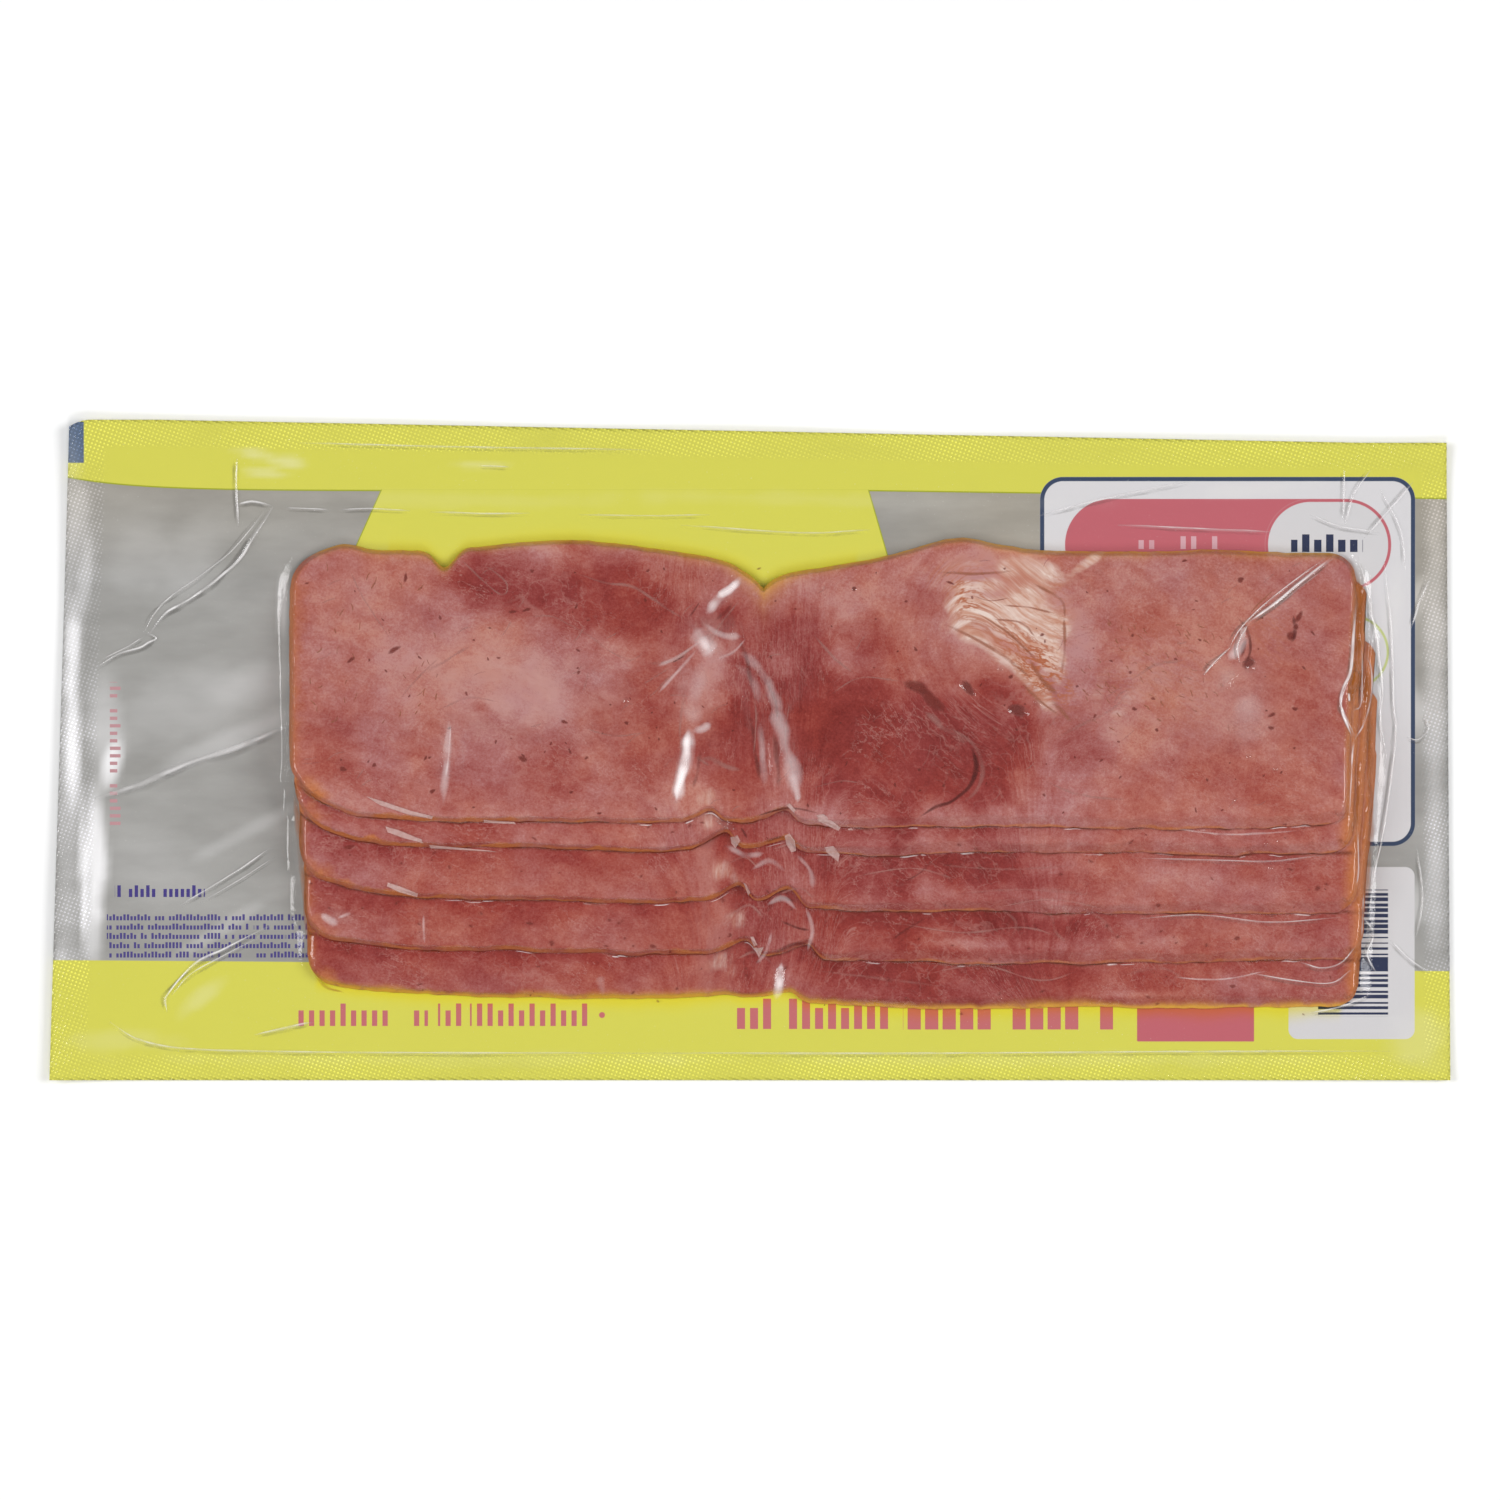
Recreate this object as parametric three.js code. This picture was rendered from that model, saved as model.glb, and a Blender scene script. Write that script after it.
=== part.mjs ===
// Vacuum pack of bacon, lying on its printed side: five rashers in a shingled row, drawn tight under clear
// film on a printed backing film. Millimetres, +Z up. +X runs along the pack, +Y towards the rashers' plain
// side, and the origin is in the middle of the pack's underside.
import * as THREE from 'three';

// Outline of the films: nearly a rectangle, whose left, right and top edges run a little out of square.
const PACK_LENGTH = 280;
const PACK_WIDTH = 132;
const LEFT_EDGE_SLANT = 4;
const RIGHT_EDGE_SLANT = 0.8;
const TOP_EDGE_FALL = 4.6;
const TOP_FALL_FROM = -118;
const TOP_FALL_TO = 122;
const CORNER_CURL = { reach: 4, drop: 1.4 };

// Thickness of the two films where they lie on each other, and in the pressed weld along the edges.
const FILMS_THICKNESS = 0.4;
const WELD_THICKNESS = 0.25;
const WELD_WIDTH = { left: 7.5, right: 5, top: 5.5, bottom: 5 };
const WELD_STEP = 0.6;

// Clear film over the food: its own thickness and the least height of the bag at its foot.
const COVER_FILM = 0.2;
const BAG_FOOT_HEIGHT = 0.15;

// Rashers, from the top one down. Each is given by the line of its front edge (lower in Y), how much that line
// falls from left to right, how far it curls up at the left end, and where its left and right ends lie.
const RASHER_THICKNESS = 2.4;
const RASHER_DEPTH = 55;
const RASHERS = [
  { front: -14.7, fall: 0.7, curl: 7.4, curlReach: 7.5, left: -92.0, rightBack: 120.3, rightFront: 119.2 },
  { front: -19.7, fall: 1.0, curl: 7.2, curlReach: 8.5, left: -91.0, rightBack: 122.2, rightFront: 120.0 },
  { front: -30.4, fall: 1.9, curl: 6.0, curlReach: 15, left: -90.0, rightBack: 125.0, rightFront: 121.3 },
  { front: -40.7, fall: 1.7, curl: 5.4, curlReach: 13, left: -89.2, rightBack: 125.8, rightFront: 122.3 },
  { front: -49.5, fall: 2.1, curl: 4.2, curlReach: 12, left: -88.6, rightBack: 125.6, rightFront: 121.7 },
];
const CURL_FROM = -90;
const FALL_FROM = -5;
const FALL_OVER = 30;
const CORNER_RADIUS = 5;

// Where the row has been folded across its middle: the front edges are pulled back there, and the row sinks.
const FOLD = { at: -1.5, reach: 9, sink: 0.1, pull: 3.0, pullReach: 4.5 };
const FOLD_RIDGES = [{ at: -12.5, reach: 2.2, height: 0.35 }, { at: 9.5, reach: 2.4, height: 0.4 }];

// Back edge of the top rasher: a straight line with bulges, a notch at the fold and a nick.
const BACK_EDGE = 39.7;
const BACK_SWELLS = [
  { at: -38, reach: 17, height: 2.2 },
  { at: 42, reach: 10.5, height: 3.0 },
  { at: -81, reach: 4, height: 1.4 },
  { at: -61, reach: 2.6, height: -3.6 },
  { at: 9, reach: 17, height: -3.6 },
];
const BACK_NOTCH = { at: 2.6, reach: 3.6, depth: 4.6 };
const BACK_CORNER_RADIUS = 7;

// How far the clear film stands off each side before it meets the backing film, and at each step of the row.
const FOOT = { left: 5, right: 3.6, back: 3.2, front: 3.4 };
const STEP_TAIL = 1.1;
const EDGE_ROUND = 0.7;
const HIDDEN_SLOPE = 10;

const bump = (x, at, reach) => Math.exp(-(((x - at) / reach) ** 2));
const clamp = (x, low, high) => Math.min(Math.max(x, low), high);
const smooth = (t) => {
  const s = clamp(t, 0, 1);
  return s * s * (3 - 2 * s);
};
const mix = (a, b, t) => a + (b - a) * t;

// Edges of the films.
const packLeft = (y) => -PACK_LENGTH / 2 + (LEFT_EDGE_SLANT * (y + PACK_WIDTH / 2)) / PACK_WIDTH;
const packRight = (y) => PACK_LENGTH / 2 - (RIGHT_EDGE_SLANT * (y + PACK_WIDTH / 2)) / PACK_WIDTH;
const packFront = () => -PACK_WIDTH / 2;
function packBack(x) {
  const fall = clamp((x - TOP_FALL_FROM) / (TOP_FALL_TO - TOP_FALL_FROM), 0, 1);
  const curlStart = packLeft(PACK_WIDTH / 2) + CORNER_CURL.reach;
  const curl = clamp((curlStart - x) / CORNER_CURL.reach, 0, 1);
  return PACK_WIDTH / 2 - TOP_EDGE_FALL * fall - CORNER_CURL.drop * curl ** 2;
}

// Front edge of a rasher at x: its line, bent down to the right, curled up at the left and pulled in at the fold.
function frontEdge(rasher, x) {
  const along = clamp(x, CURL_FROM, 121);
  const curl = rasher.curl * Math.exp(-(along - CURL_FROM) / rasher.curlReach);
  const fall = rasher.fall * smooth((along - FALL_FROM) / FALL_OVER);
  const pull = FOLD.pull * (bump(along, FOLD.at - 3, FOLD.pullReach) + 0.6 * bump(along, FOLD.at + 11, 3));
  return rasher.front + curl - fall + pull;
}

// Back edge of the top rasher at x. The lower ones end behind it, under its cover.
function backEdge(x) {
  const along = clamp(x, -88, 118);
  const swells = BACK_SWELLS.reduce((sum, s) => sum + s.height * bump(along, s.at, s.reach), 0);
  const notch = BACK_NOTCH.depth * Math.exp(-Math.abs(along - BACK_NOTCH.at) / BACK_NOTCH.reach);
  return BACK_EDGE + swells - notch;
}
const rasherBack = (index, x) =>
  index === 0 ? backEdge(x) : Math.min(backEdge(x) - 2, frontEdge(RASHERS[index], x) + RASHER_DEPTH);

const rasherRight = (rasher, y) =>
  mix(rasher.rightFront, rasher.rightBack, clamp((y - rasher.front) / RASHER_DEPTH, 0, 1));

// How far a point lies inside a corner of the given radius whose sides are u and v away (negative outside).
function insideCorner(u, v, radius) {
  if (u >= radius || v >= radius) return Math.min(u, v);
  return radius - Math.hypot(radius - u, radius - v);
}

// Share of one rasher's thickness under the film at (x, y): 1 on it, 0 clear of it, and a slope of the film
// between, short at the steps, longer where the film runs down to the backing, and long where it is covered.
function cover(index, x, y) {
  const rasher = RASHERS[index];
  const lowest = index === RASHERS.length - 1;
  const left = x - rasher.left;
  const right = rasherRight(rasher, y) - x;
  const front = y - frontEdge(rasher, x);
  const back = rasherBack(index, x) - y;
  const side = left < right ? { gap: left, tail: FOOT.left } : { gap: right, tail: lowest ? FOOT.right : STEP_TAIL };
  const end =
    front < back
      ? { gap: front, tail: lowest ? FOOT.front : STEP_TAIL, round: EDGE_ROUND }
      : { gap: back, tail: FOOT.back, round: index === 0 ? EDGE_ROUND : HIDDEN_SLOPE };
  const radius = index === 0 && front >= back ? BACK_CORNER_RADIUS : CORNER_RADIUS;
  const inside = insideCorner(side.gap, end.gap, radius);
  const tail = side.gap < end.gap ? side.tail : end.tail;
  const round = side.gap < end.gap ? EDGE_ROUND : end.round;
  const share = (inside + tail) / (tail + round);
  return inside > 0 ? smooth(share) : smooth(share) * mix(clamp(share, 0, 1), 1, clamp(share, 0, 1));
}

// Height of the filled bag above the backing film.
function bagHeight(x, y) {
  const stack = RASHERS.reduce((sum, _, index) => sum + RASHER_THICKNESS * cover(index, x, y), 0);
  const sunk = stack * (1 - FOLD.sink * bump(x, FOLD.at, FOLD.reach));
  const onFood = smooth(stack / RASHER_THICKNESS);
  const ridges = FOLD_RIDGES.reduce((sum, r) => sum + r.height * bump(x, r.at, r.reach), 0);
  return Math.max(sunk + onFood * (ridges + COVER_FILM), BAG_FOOT_HEIGHT);
}

// Even stops from one value to another, without the last.
const stops = (from, to, count) => Array.from({ length: count }, (_, i) => mix(from, to, i / count));

// Closed solid between two heights over a grid whose points are at(column, row), with a flat underside that is
// a ladder of long strips, because it needs no points inside.
function sheetSolid(columns, rows, at, bottom, top) {
  const across = rows.length;
  const positions = [];
  const faces = [];
  const points = columns.map((column) => rows.map((row) => at(column, row)));
  points.forEach((line) => line.forEach(([x, y]) => positions.push(x, y, bottom + top(x, y))));
  const upper = (i, j) => i * across + j;
  for (let i = 0; i + 1 < columns.length; i++) {
    for (let j = 0; j + 1 < across; j++) {
      faces.push(upper(i, j), upper(i + 1, j), upper(i + 1, j + 1));
      faces.push(upper(i, j), upper(i + 1, j + 1), upper(i, j + 1));
    }
  }
  // Rim: the grid's border points, counterclockwise, each with a point below it.
  const lastColumn = columns.length - 1;
  const rim = [];
  for (let i = 0; i < lastColumn; i++) rim.push([i, 0]);
  for (let j = 0; j < across - 1; j++) rim.push([lastColumn, j]);
  for (let i = lastColumn; i > 0; i--) rim.push([i, across - 1]);
  for (let j = across - 1; j > 0; j--) rim.push([0, j]);
  const below = new Map();
  rim.forEach(([i, j]) => {
    below.set(upper(i, j), positions.length / 3);
    positions.push(points[i][j][0], points[i][j][1], bottom);
  });
  const under = (i, j) => below.get(upper(i, j));
  rim.forEach(([i, j], n) => {
    const [nextI, nextJ] = rim[(n + 1) % rim.length];
    faces.push(upper(i, j), under(i, j), under(nextI, nextJ));
    faces.push(upper(i, j), under(nextI, nextJ), upper(nextI, nextJ));
  });
  for (let i = 1; i + 1 < lastColumn; i++) {
    faces.push(under(i, 0), under(i + 1, across - 1), under(i + 1, 0));
    faces.push(under(i, 0), under(i, across - 1), under(i + 1, across - 1));
  }
  // The end strips take in every point of the short sides as a fan from one inner corner.
  for (let j = 0; j + 1 < across; j++) {
    faces.push(under(1, 0), under(0, j), under(0, j + 1));
    faces.push(under(lastColumn - 1, 0), under(lastColumn, j + 1), under(lastColumn, j));
  }
  faces.push(under(1, 0), under(0, across - 1), under(1, across - 1));
  faces.push(under(lastColumn - 1, 0), under(lastColumn - 1, across - 1), under(lastColumn, across - 1));
  const geometry = new THREE.BufferGeometry();
  geometry.setAttribute('position', new THREE.Float32BufferAttribute(positions, 3));
  geometry.setIndex(faces);
  geometry.computeVertexNormals();
  return geometry;
}

// A grid point where a column line x(y) crosses a row line y(x), found by going from one to the other.
function crossing(column, row) {
  let y = row(0);
  let x = column(y);
  for (let turn = 0; turn < 4; turn++) {
    y = row(x);
    x = column(y);
  }
  return [x, row(x)];
}

// Backing film with the cover film's flat margin: one thin sheet whose border is pressed thinner by the weld.
function filmsGeometry() {
  const weldLeft = (y) => packLeft(y) + WELD_WIDTH.left;
  const weldRight = (y) => packRight(y) - WELD_WIDTH.right;
  const weldBack = (x) => packBack(x) - WELD_WIDTH.top;
  const curlStart = packLeft(PACK_WIDTH / 2) + CORNER_CURL.reach;
  const columns = [
    packLeft,
    ...stops(0.25, 1, 3).map((t) => (y) => packLeft(y) + t * (curlStart - packLeft(PACK_WIDTH / 2))),
    (y) => packLeft(y) + CORNER_CURL.reach,
    weldLeft,
    (y) => weldLeft(y) + WELD_STEP,
    () => TOP_FALL_FROM,
    () => TOP_FALL_TO,
    (y) => weldRight(y) - WELD_STEP,
    weldRight,
    packRight,
  ];
  const rows = [
    packFront,
    () => packFront() + WELD_WIDTH.bottom,
    () => packFront() + WELD_WIDTH.bottom + WELD_STEP,
    (x) => weldBack(x) - WELD_STEP,
    weldBack,
    packBack,
  ];
  const height = (x, y) => {
    const inward = Math.min(
      x - weldLeft(y),
      weldRight(y) - x,
      y - packFront() - WELD_WIDTH.bottom,
      weldBack(x) - y,
    );
    return inward >= WELD_STEP * 0.5 ? FILMS_THICKNESS : WELD_THICKNESS;
  };
  return sheetSolid(columns, rows, crossing, 0, height);
}

// Rashers under the clear film: one solid from the backing film up to the film's upper face.
function bagGeometry() {
  const lowest = RASHERS[RASHERS.length - 1];
  const outerRight = (y) => rasherRight(lowest, y);
  const columnStops = [
    ...[-97, -95.2, -93.6, -92.2, -91.4, -90.2],
    ...stops(-88.5, -66, 8),
    ...stops(-66, -56, 5),
    ...stops(-56, -16, 9),
    ...stops(-16, 16, 21),
    ...stops(16, 56, 11),
    ...stops(56, 112, 9),
    112,
  ];
  const sideStops = [-7.2, -6.3, -5.6, -4.8, -3.9, -3.0, -2.2, -1.3, -0.6, 0.5, 1.5, 2.5, 3.6];
  const columns = [
    ...columnStops.map((x) => () => x),
    ...sideStops.map((offset) => (y) => outerRight(y) + offset),
  ];
  const stepRows = [...RASHERS].reverse().flatMap((rasher) => [
    (x) => frontEdge(rasher, x) - STEP_TAIL,
    (x) => frontEdge(rasher, x) - 0.3,
    (x) => frontEdge(rasher, x) + EDGE_ROUND,
  ]);
  const topRows = stops(0.1, 0.97, 9).map(
    (t) => (x) => mix(frontEdge(RASHERS[0], x) + EDGE_ROUND, backEdge(x) - EDGE_ROUND, t),
  );
  const rows = [
    (x) => frontEdge(lowest, x) - FOOT.front,
    (x) => frontEdge(lowest, x) - 2.1,
    ...stepRows,
    ...topRows,
    ...[-EDGE_ROUND, 0.3, 1.2, 2.1, FOOT.back].map((offset) => (x) => backEdge(x) + offset),
  ];
  return sheetSolid(columns, rows, crossing, FILMS_THICKNESS, bagHeight);
}

function part(name, geometry, material) {
  const mesh = new THREE.Mesh(geometry, new THREE.MeshStandardMaterial(material));
  mesh.name = name;
  return mesh;
}

const baconPack = new THREE.Group();
baconPack.add(part('printed_film', filmsGeometry(), { color: 0xd5d25c, roughness: 0.35, metalness: 0.1 }));
baconPack.add(part('filled_bag', bagGeometry(), { color: 0xb06a62, roughness: 0.3, metalness: 0 }));

export default baconPack;
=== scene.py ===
"""A vacuum pack of bacon, lying on its printed side and seen from straight above.

Five rashers lie in a shingled row on a printed backing film, and clear film is drawn tight over them. Every
surface is a height over the table: lengths below are millimetres and become metres when a mesh is made.
"""

import bpy
import numpy as np
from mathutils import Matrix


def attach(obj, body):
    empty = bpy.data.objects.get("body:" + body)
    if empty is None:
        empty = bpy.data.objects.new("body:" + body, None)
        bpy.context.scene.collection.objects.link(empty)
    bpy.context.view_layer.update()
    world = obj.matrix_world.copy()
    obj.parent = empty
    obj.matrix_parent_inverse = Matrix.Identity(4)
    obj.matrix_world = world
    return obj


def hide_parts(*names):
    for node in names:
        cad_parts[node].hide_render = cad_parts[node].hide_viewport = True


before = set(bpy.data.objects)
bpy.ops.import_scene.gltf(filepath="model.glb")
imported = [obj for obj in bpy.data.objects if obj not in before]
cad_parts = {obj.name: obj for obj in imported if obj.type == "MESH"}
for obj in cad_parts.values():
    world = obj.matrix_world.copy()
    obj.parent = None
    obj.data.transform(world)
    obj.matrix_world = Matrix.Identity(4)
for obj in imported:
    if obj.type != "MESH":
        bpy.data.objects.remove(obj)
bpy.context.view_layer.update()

# Metres: a millimetre, and the table's height and half its side.
MM = 0.001
TABLE = -0.0002
TABLE_HALF = 1.6

# Films: nearly a rectangle, whose left, right and top edges run a little out of square.
PACK_LENGTH = 280
PACK_WIDTH = 132
LEFT_EDGE_SLANT = 4
RIGHT_EDGE_SLANT = 0.8
TOP_EDGE_FALL = 4.6
TOP_FALL_FROM, TOP_FALL_TO = -118, 122
CORNER_CURL_REACH, CORNER_CURL_DROP = 4, 1.4
BACKING_THICKNESS = 0.16
WELD_WIDTH = {"left": 7.5, "right": 5.0, "top": 5.5, "bottom": 5.0}

# Rashers, from the top one down: the line of the front edge, its fall to the right, its curl at the left end
# and the reach of that curl, and where the left end and the right end (at the back and at the front) lie.
THICKNESS = 2.4
DEPTH = 55
BASE = 0.42
RASHERS = [
    {"front": -14.7, "fall": 0.7, "curl": 7.4, "reach": 7.5, "left": -92.0, "right": (121.4, 119.4)},
    {"front": -19.7, "fall": 1.0, "curl": 7.2, "reach": 8.5, "left": -91.0, "right": (123.4, 120.2)},
    {"front": -30.4, "fall": 1.9, "curl": 6.0, "reach": 15.0, "left": -90.0, "right": (125.0, 121.3)},
    {"front": -40.7, "fall": 1.7, "curl": 5.4, "reach": 13.0, "left": -89.2, "right": (125.8, 122.3)},
    {"front": -49.5, "fall": 2.1, "curl": 4.2, "reach": 12.0, "left": -88.6, "right": (125.6, 121.7)},
]
LAST = len(RASHERS) - 1
CURL_FROM = -90
CORNER_RADIUS = 5
BACK_CORNERS = {"left": 8, "right": 5.5}

# Fold across the middle of the row, and the notch and nick in the top rasher's back edge.
FOLD_AT, FOLD_REACH, FOLD_SINK = -1.5, 9, 0.1
FOLD_PULLS = [
    ((-7.6, 2.2), (7.4, 2.4)), ((-4.6, 3.2), (7.4, 1.8)), ((-1.9, 3.4), (8.2, 3.0)),
    ((-0.5, 3.0), (11.6, 2.8)), ((-4, 0.4), (8, 1.7)),
]
BACK_EDGE = 39.7
BACK_SWELLS = [(-38, 17, 2.2), (42, 10.5, 3.0), (-81, 4, 1.4), (-61, 2.6, -3.6), (9, 17, -3.6)]
NOTCH_AT, NOTCH_REACH, NOTCH_DEPTH = 2.6, 3.6, 4.6

# Clear film: how far it runs from the food to the backing on each side, and how far it bridges each step.
FOOT = {"left": 2.1, "right": 2.2, "back": 1.8, "front": 1.8}
STEP_BRIDGE = 1.0
HIDDEN_SLOPE = 18
HIDDEN_TAIL = 4
FILM_GAP = 0.1


def bump(x, at, reach):
    """Bell of height 1: exp(-((x - at) / reach)^2)."""
    return np.exp(-(((x - at) / reach) ** 2))


def smooth(t):
    """Eased step from 0 to 1: 3t^2 - 2t^3 between 0 and 1."""
    s = np.clip(t, 0, 1)
    return s * s * (3 - 2 * s)


def soft_min(a, b, width):
    """Smaller of two fields with the corner between them rounded: -w ln(e^(-a/w) + e^(-b/w))."""
    return -width * np.logaddexp(-a / width, -b / width)


LATTICES = np.random.default_rng(7).uniform(-1, 1, (512, 64, 64)).astype(np.float32)


def lattice_noise(x, y, size, seed):
    """Noise from -1 to 1: seeded random values on a square lattice of the given size, eased between."""
    values = LATTICES[seed % 512]
    u, v = x / size, y / size
    i, j = np.floor(u).astype(int), np.floor(v).astype(int)
    s, t = smooth(u - i), smooth(v - j)
    i0, i1, j0, j1 = i % 64, (i + 1) % 64, j % 64, (j + 1) % 64
    near = values[i0, j0] * (1 - s) + values[i1, j0] * s
    far = values[i0, j1] * (1 - s) + values[i1, j1] * s
    return near * (1 - t) + far * t


def clouds(x, y, size, seed, octaves=4):
    """Sum of lattice noises, each half the size and half the strength of the one before, from about -1 to
    1."""
    total = sum(lattice_noise(x, y, size / 2**n, seed + n) / 2**n for n in range(octaves))
    return total / (2 - 0.5 ** (octaves - 1))


def pack_left(y):
    """Left edge of the films: x = -length / 2, moving right by the slant from front to back."""
    return -PACK_LENGTH / 2 + LEFT_EDGE_SLANT * (y + PACK_WIDTH / 2) / PACK_WIDTH


def pack_right(y):
    """Right edge of the films: x = length / 2, moving left by its slant from front to back."""
    return PACK_LENGTH / 2 - RIGHT_EDGE_SLANT * (y + PACK_WIDTH / 2) / PACK_WIDTH


def pack_back(x):
    """Top edge: level, then falling evenly to the right, with the corner curled down as a parabola."""
    fall = np.clip((x - TOP_FALL_FROM) / (TOP_FALL_TO - TOP_FALL_FROM), 0, 1)
    curl_start = pack_left(PACK_WIDTH / 2) + CORNER_CURL_REACH
    curl = np.clip((curl_start - x) / CORNER_CURL_REACH, 0, 1)
    return PACK_WIDTH / 2 - TOP_EDGE_FALL * fall - CORNER_CURL_DROP * curl**2


def pack_front(x):
    """Front edge of the films, a straight line."""
    return np.full_like(x, -PACK_WIDTH / 2)


def cut_waver(x, seed):
    """Unevenness of a cut edge: long, middle and short waves along it."""
    still = np.zeros_like(x)
    long = 0.45 * lattice_noise(x, still, 23, seed)
    middle = 0.22 * lattice_noise(x, still, 6, seed + 1)
    return long + middle + 0.13 * lattice_noise(x, still, 1.7, seed + 2)


def front_edge(k, x):
    """Front edge of rasher k at x: its line, curled up at the left, bent down to the right, and pulled
    back at the fold by bells that are steeper on their right."""
    r = RASHERS[k]
    along = np.clip(x, CURL_FROM, 121)
    curl = r["curl"] * np.exp(-(along - CURL_FROM) / r["reach"])
    fall = r["fall"] * smooth((along + 5) / 30)
    pull = sum(height * bump(along, at, np.where(along < at, 4.4, 1.8)) for at, height in FOLD_PULLS[k])
    return r["front"] + curl - fall + pull + cut_waver(along, 11 + 7 * k)


def back_edge(x):
    """Back edge of the top rasher: a line with swells, the notch at the fold and the nick."""
    along = np.clip(x, -88, 118)
    swells = sum(height * bump(along, at, reach) for at, reach, height in BACK_SWELLS)
    notch = NOTCH_DEPTH * np.exp(-np.abs(along - NOTCH_AT) / NOTCH_REACH)
    return BACK_EDGE + swells - notch + 0.7 * cut_waver(along, 5)


def rasher_back(k, x):
    """Back edge of rasher k: the top one's own, and under it one depth behind the front edge of each."""
    return back_edge(x) if k == 0 else np.minimum(back_edge(x) - 2, front_edge(k, x) + DEPTH)


def rasher_left(k, y):
    """Left end of rasher k: its line with the waver of a cut edge."""
    return RASHERS[k]["left"] + 0.5 * cut_waver(y, 51 + 3 * k)


def rasher_right(k, y):
    """Right end of rasher k: a line from its front place to its back place, with the waver of a cut
    edge."""
    r = RASHERS[k]
    back, front = r["right"]
    share = np.clip((y - r["front"]) / DEPTH, 0, 1)
    return front + (back - front) * share + 0.9 * cut_waver(y, 71 + 3 * k)


def lip(k, x):
    """Width of the slanted cut face along the front of a rasher: narrow on the left, wide on the right."""
    wave = 0.5 * lattice_noise(x, np.zeros_like(x), 9, 31 + k)
    return 1.0 + (1.2 + wave) * smooth((x - 5) / 25)


def inside_corner(u, v, radius):
    """Distance inside a rounded corner whose sides are u and v away, negative outside it."""
    round_part = radius - np.hypot(radius - u, radius - v)
    return np.where((u < radius) & (v < radius), round_part, np.minimum(u, v))


def left_on_top(y):
    """Left end of the rasher that lies on top at y: it holds the film up over the shorter ones under it."""
    left = np.full_like(y, RASHERS[LAST]["left"])
    for k in range(LAST - 1, -1, -1):
        start = RASHERS[k]["front"] + RASHERS[k]["curl"]
        left += (RASHERS[k]["left"] - RASHERS[k + 1]["left"]) * smooth((y - start + 1) / 2)
    return left + 0.5 * cut_waver(y, 51)


def rasher_inset(k, x, y):
    """Distance inside rasher k's outline, and the widths of slope and bridge that hold at the nearest
    edge."""
    left, right = x - np.minimum(rasher_left(k, y), left_on_top(y)), rasher_right(k, y) - x
    front = y - front_edge(k, x)
    back = rasher_back(k, x) - y if k == 0 else np.full_like(x, 99.0)
    side, end = np.minimum(left, right), np.minimum(front, back)
    back_radius = np.where(left < right, BACK_CORNERS["left"], BACK_CORNERS["right"])
    radius = np.where((front >= back) & (k == 0), back_radius, CORNER_RADIUS)
    inset = inside_corner(side, end, radius)
    lowest = k == LAST
    side_foot = np.where(left < right, FOOT["left"], FOOT["right"] if lowest else STEP_BRIDGE)
    end_foot = np.where(front < back, FOOT["front"] if lowest else STEP_BRIDGE, FOOT["back"])
    end_slope = np.where(front < back, lip(k, x), 0.9)
    foot = np.where(side < end, side_foot, end_foot) * (1 + 0.5 * lattice_noise(x, y, 15, 311))
    slope = np.where(side < end, 0.9, end_slope)
    return inset, slope, foot


def film_share(k, x, y):
    """Share of rasher k's thickness under the film: 1 on it, a straight slope with a soft upper corner
    over its cut face, and a hollow tail outside it."""
    inset, slope, foot = rasher_inset(k, x, y)
    over = 0.32 + 0.68 * np.clip(soft_min(inset / slope, np.ones_like(inset), 0.07), 0, 1)
    tail = 0.32 * np.clip(1 + inset / foot, 0, 1) ** 1.3
    share = np.where(inset > 0, over, tail)
    return share if k == 0 else share * hidden_back(k, y)


def hidden_back(k, y):
    """How a covered rasher thins out towards its back edge, so that the one on it lies without a step."""
    back = np.minimum(BACK_EDGE - 3, RASHERS[k]["front"] + DEPTH)
    return smooth((back - y + HIDDEN_TAIL) / HIDDEN_SLOPE)


def stack_under(k, x, y):
    """Height of what lies under rasher k, above the backing: the rashers below it, each with its soft
    slopes."""
    below = sum((film_share(j, x, y) for j in range(k + 1, LAST + 1)), np.zeros_like(x))
    return THICKNESS * below * (1 - FOLD_SINK * bump(x, FOLD_AT, FOLD_REACH))


def rasher_top(k, x, y):
    """Upper face of rasher k: its cut face rises straight from a fifth of its thickness to the whole of
    it."""
    inset, slope, _ = rasher_inset(k, x, y)
    share = 0.2 + 0.8 * np.clip(soft_min(inset / slope, np.ones_like(inset), 0.07), 0, 1)
    if k > 0:
        share = share * hidden_back(k, y) - 0.1
    own = THICKNESS * share * (1 - FOLD_SINK * bump(x, FOLD_AT, FOLD_REACH))
    return BASE + stack_under(k, x, y) + own + meat_relief(x, y + RASHERS[0]["front"] - RASHERS[k]["front"])


def margin_lift(x, y):
    """How far the films stand off the table: their free edges curl up a little, the left one most."""
    left = 1.1 * np.exp(-(x - pack_left(y)) / 9) * (1 + 0.5 * lattice_noise(y, x * 0, 31, 91))
    right = 0.5 * np.exp(-(pack_right(y) - x) / 6)
    back = 0.7 * np.exp(-(pack_back(x) - y) / 7) * (1 + 0.6 * lattice_noise(x, y * 0, 37, 92))
    front = 0.4 * np.exp(-(y + PACK_WIDTH / 2) / 6) * (1 + 0.8 * lattice_noise(x, y * 0, 41, 93))
    return left + right + back + front


def slack(x, y):
    """Waves of the clear film where it lies on the backing: broad folds that run from the row to the
    edges."""
    diagonal = 0.16 * clouds(x + 0.8 * y, (y - 0.6 * x) * 0.35, 16, 101, 3)
    return 0.14 + np.abs(diagonal) + 0.05 * np.abs(clouds(x, y, 6, 111, 2))


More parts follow.
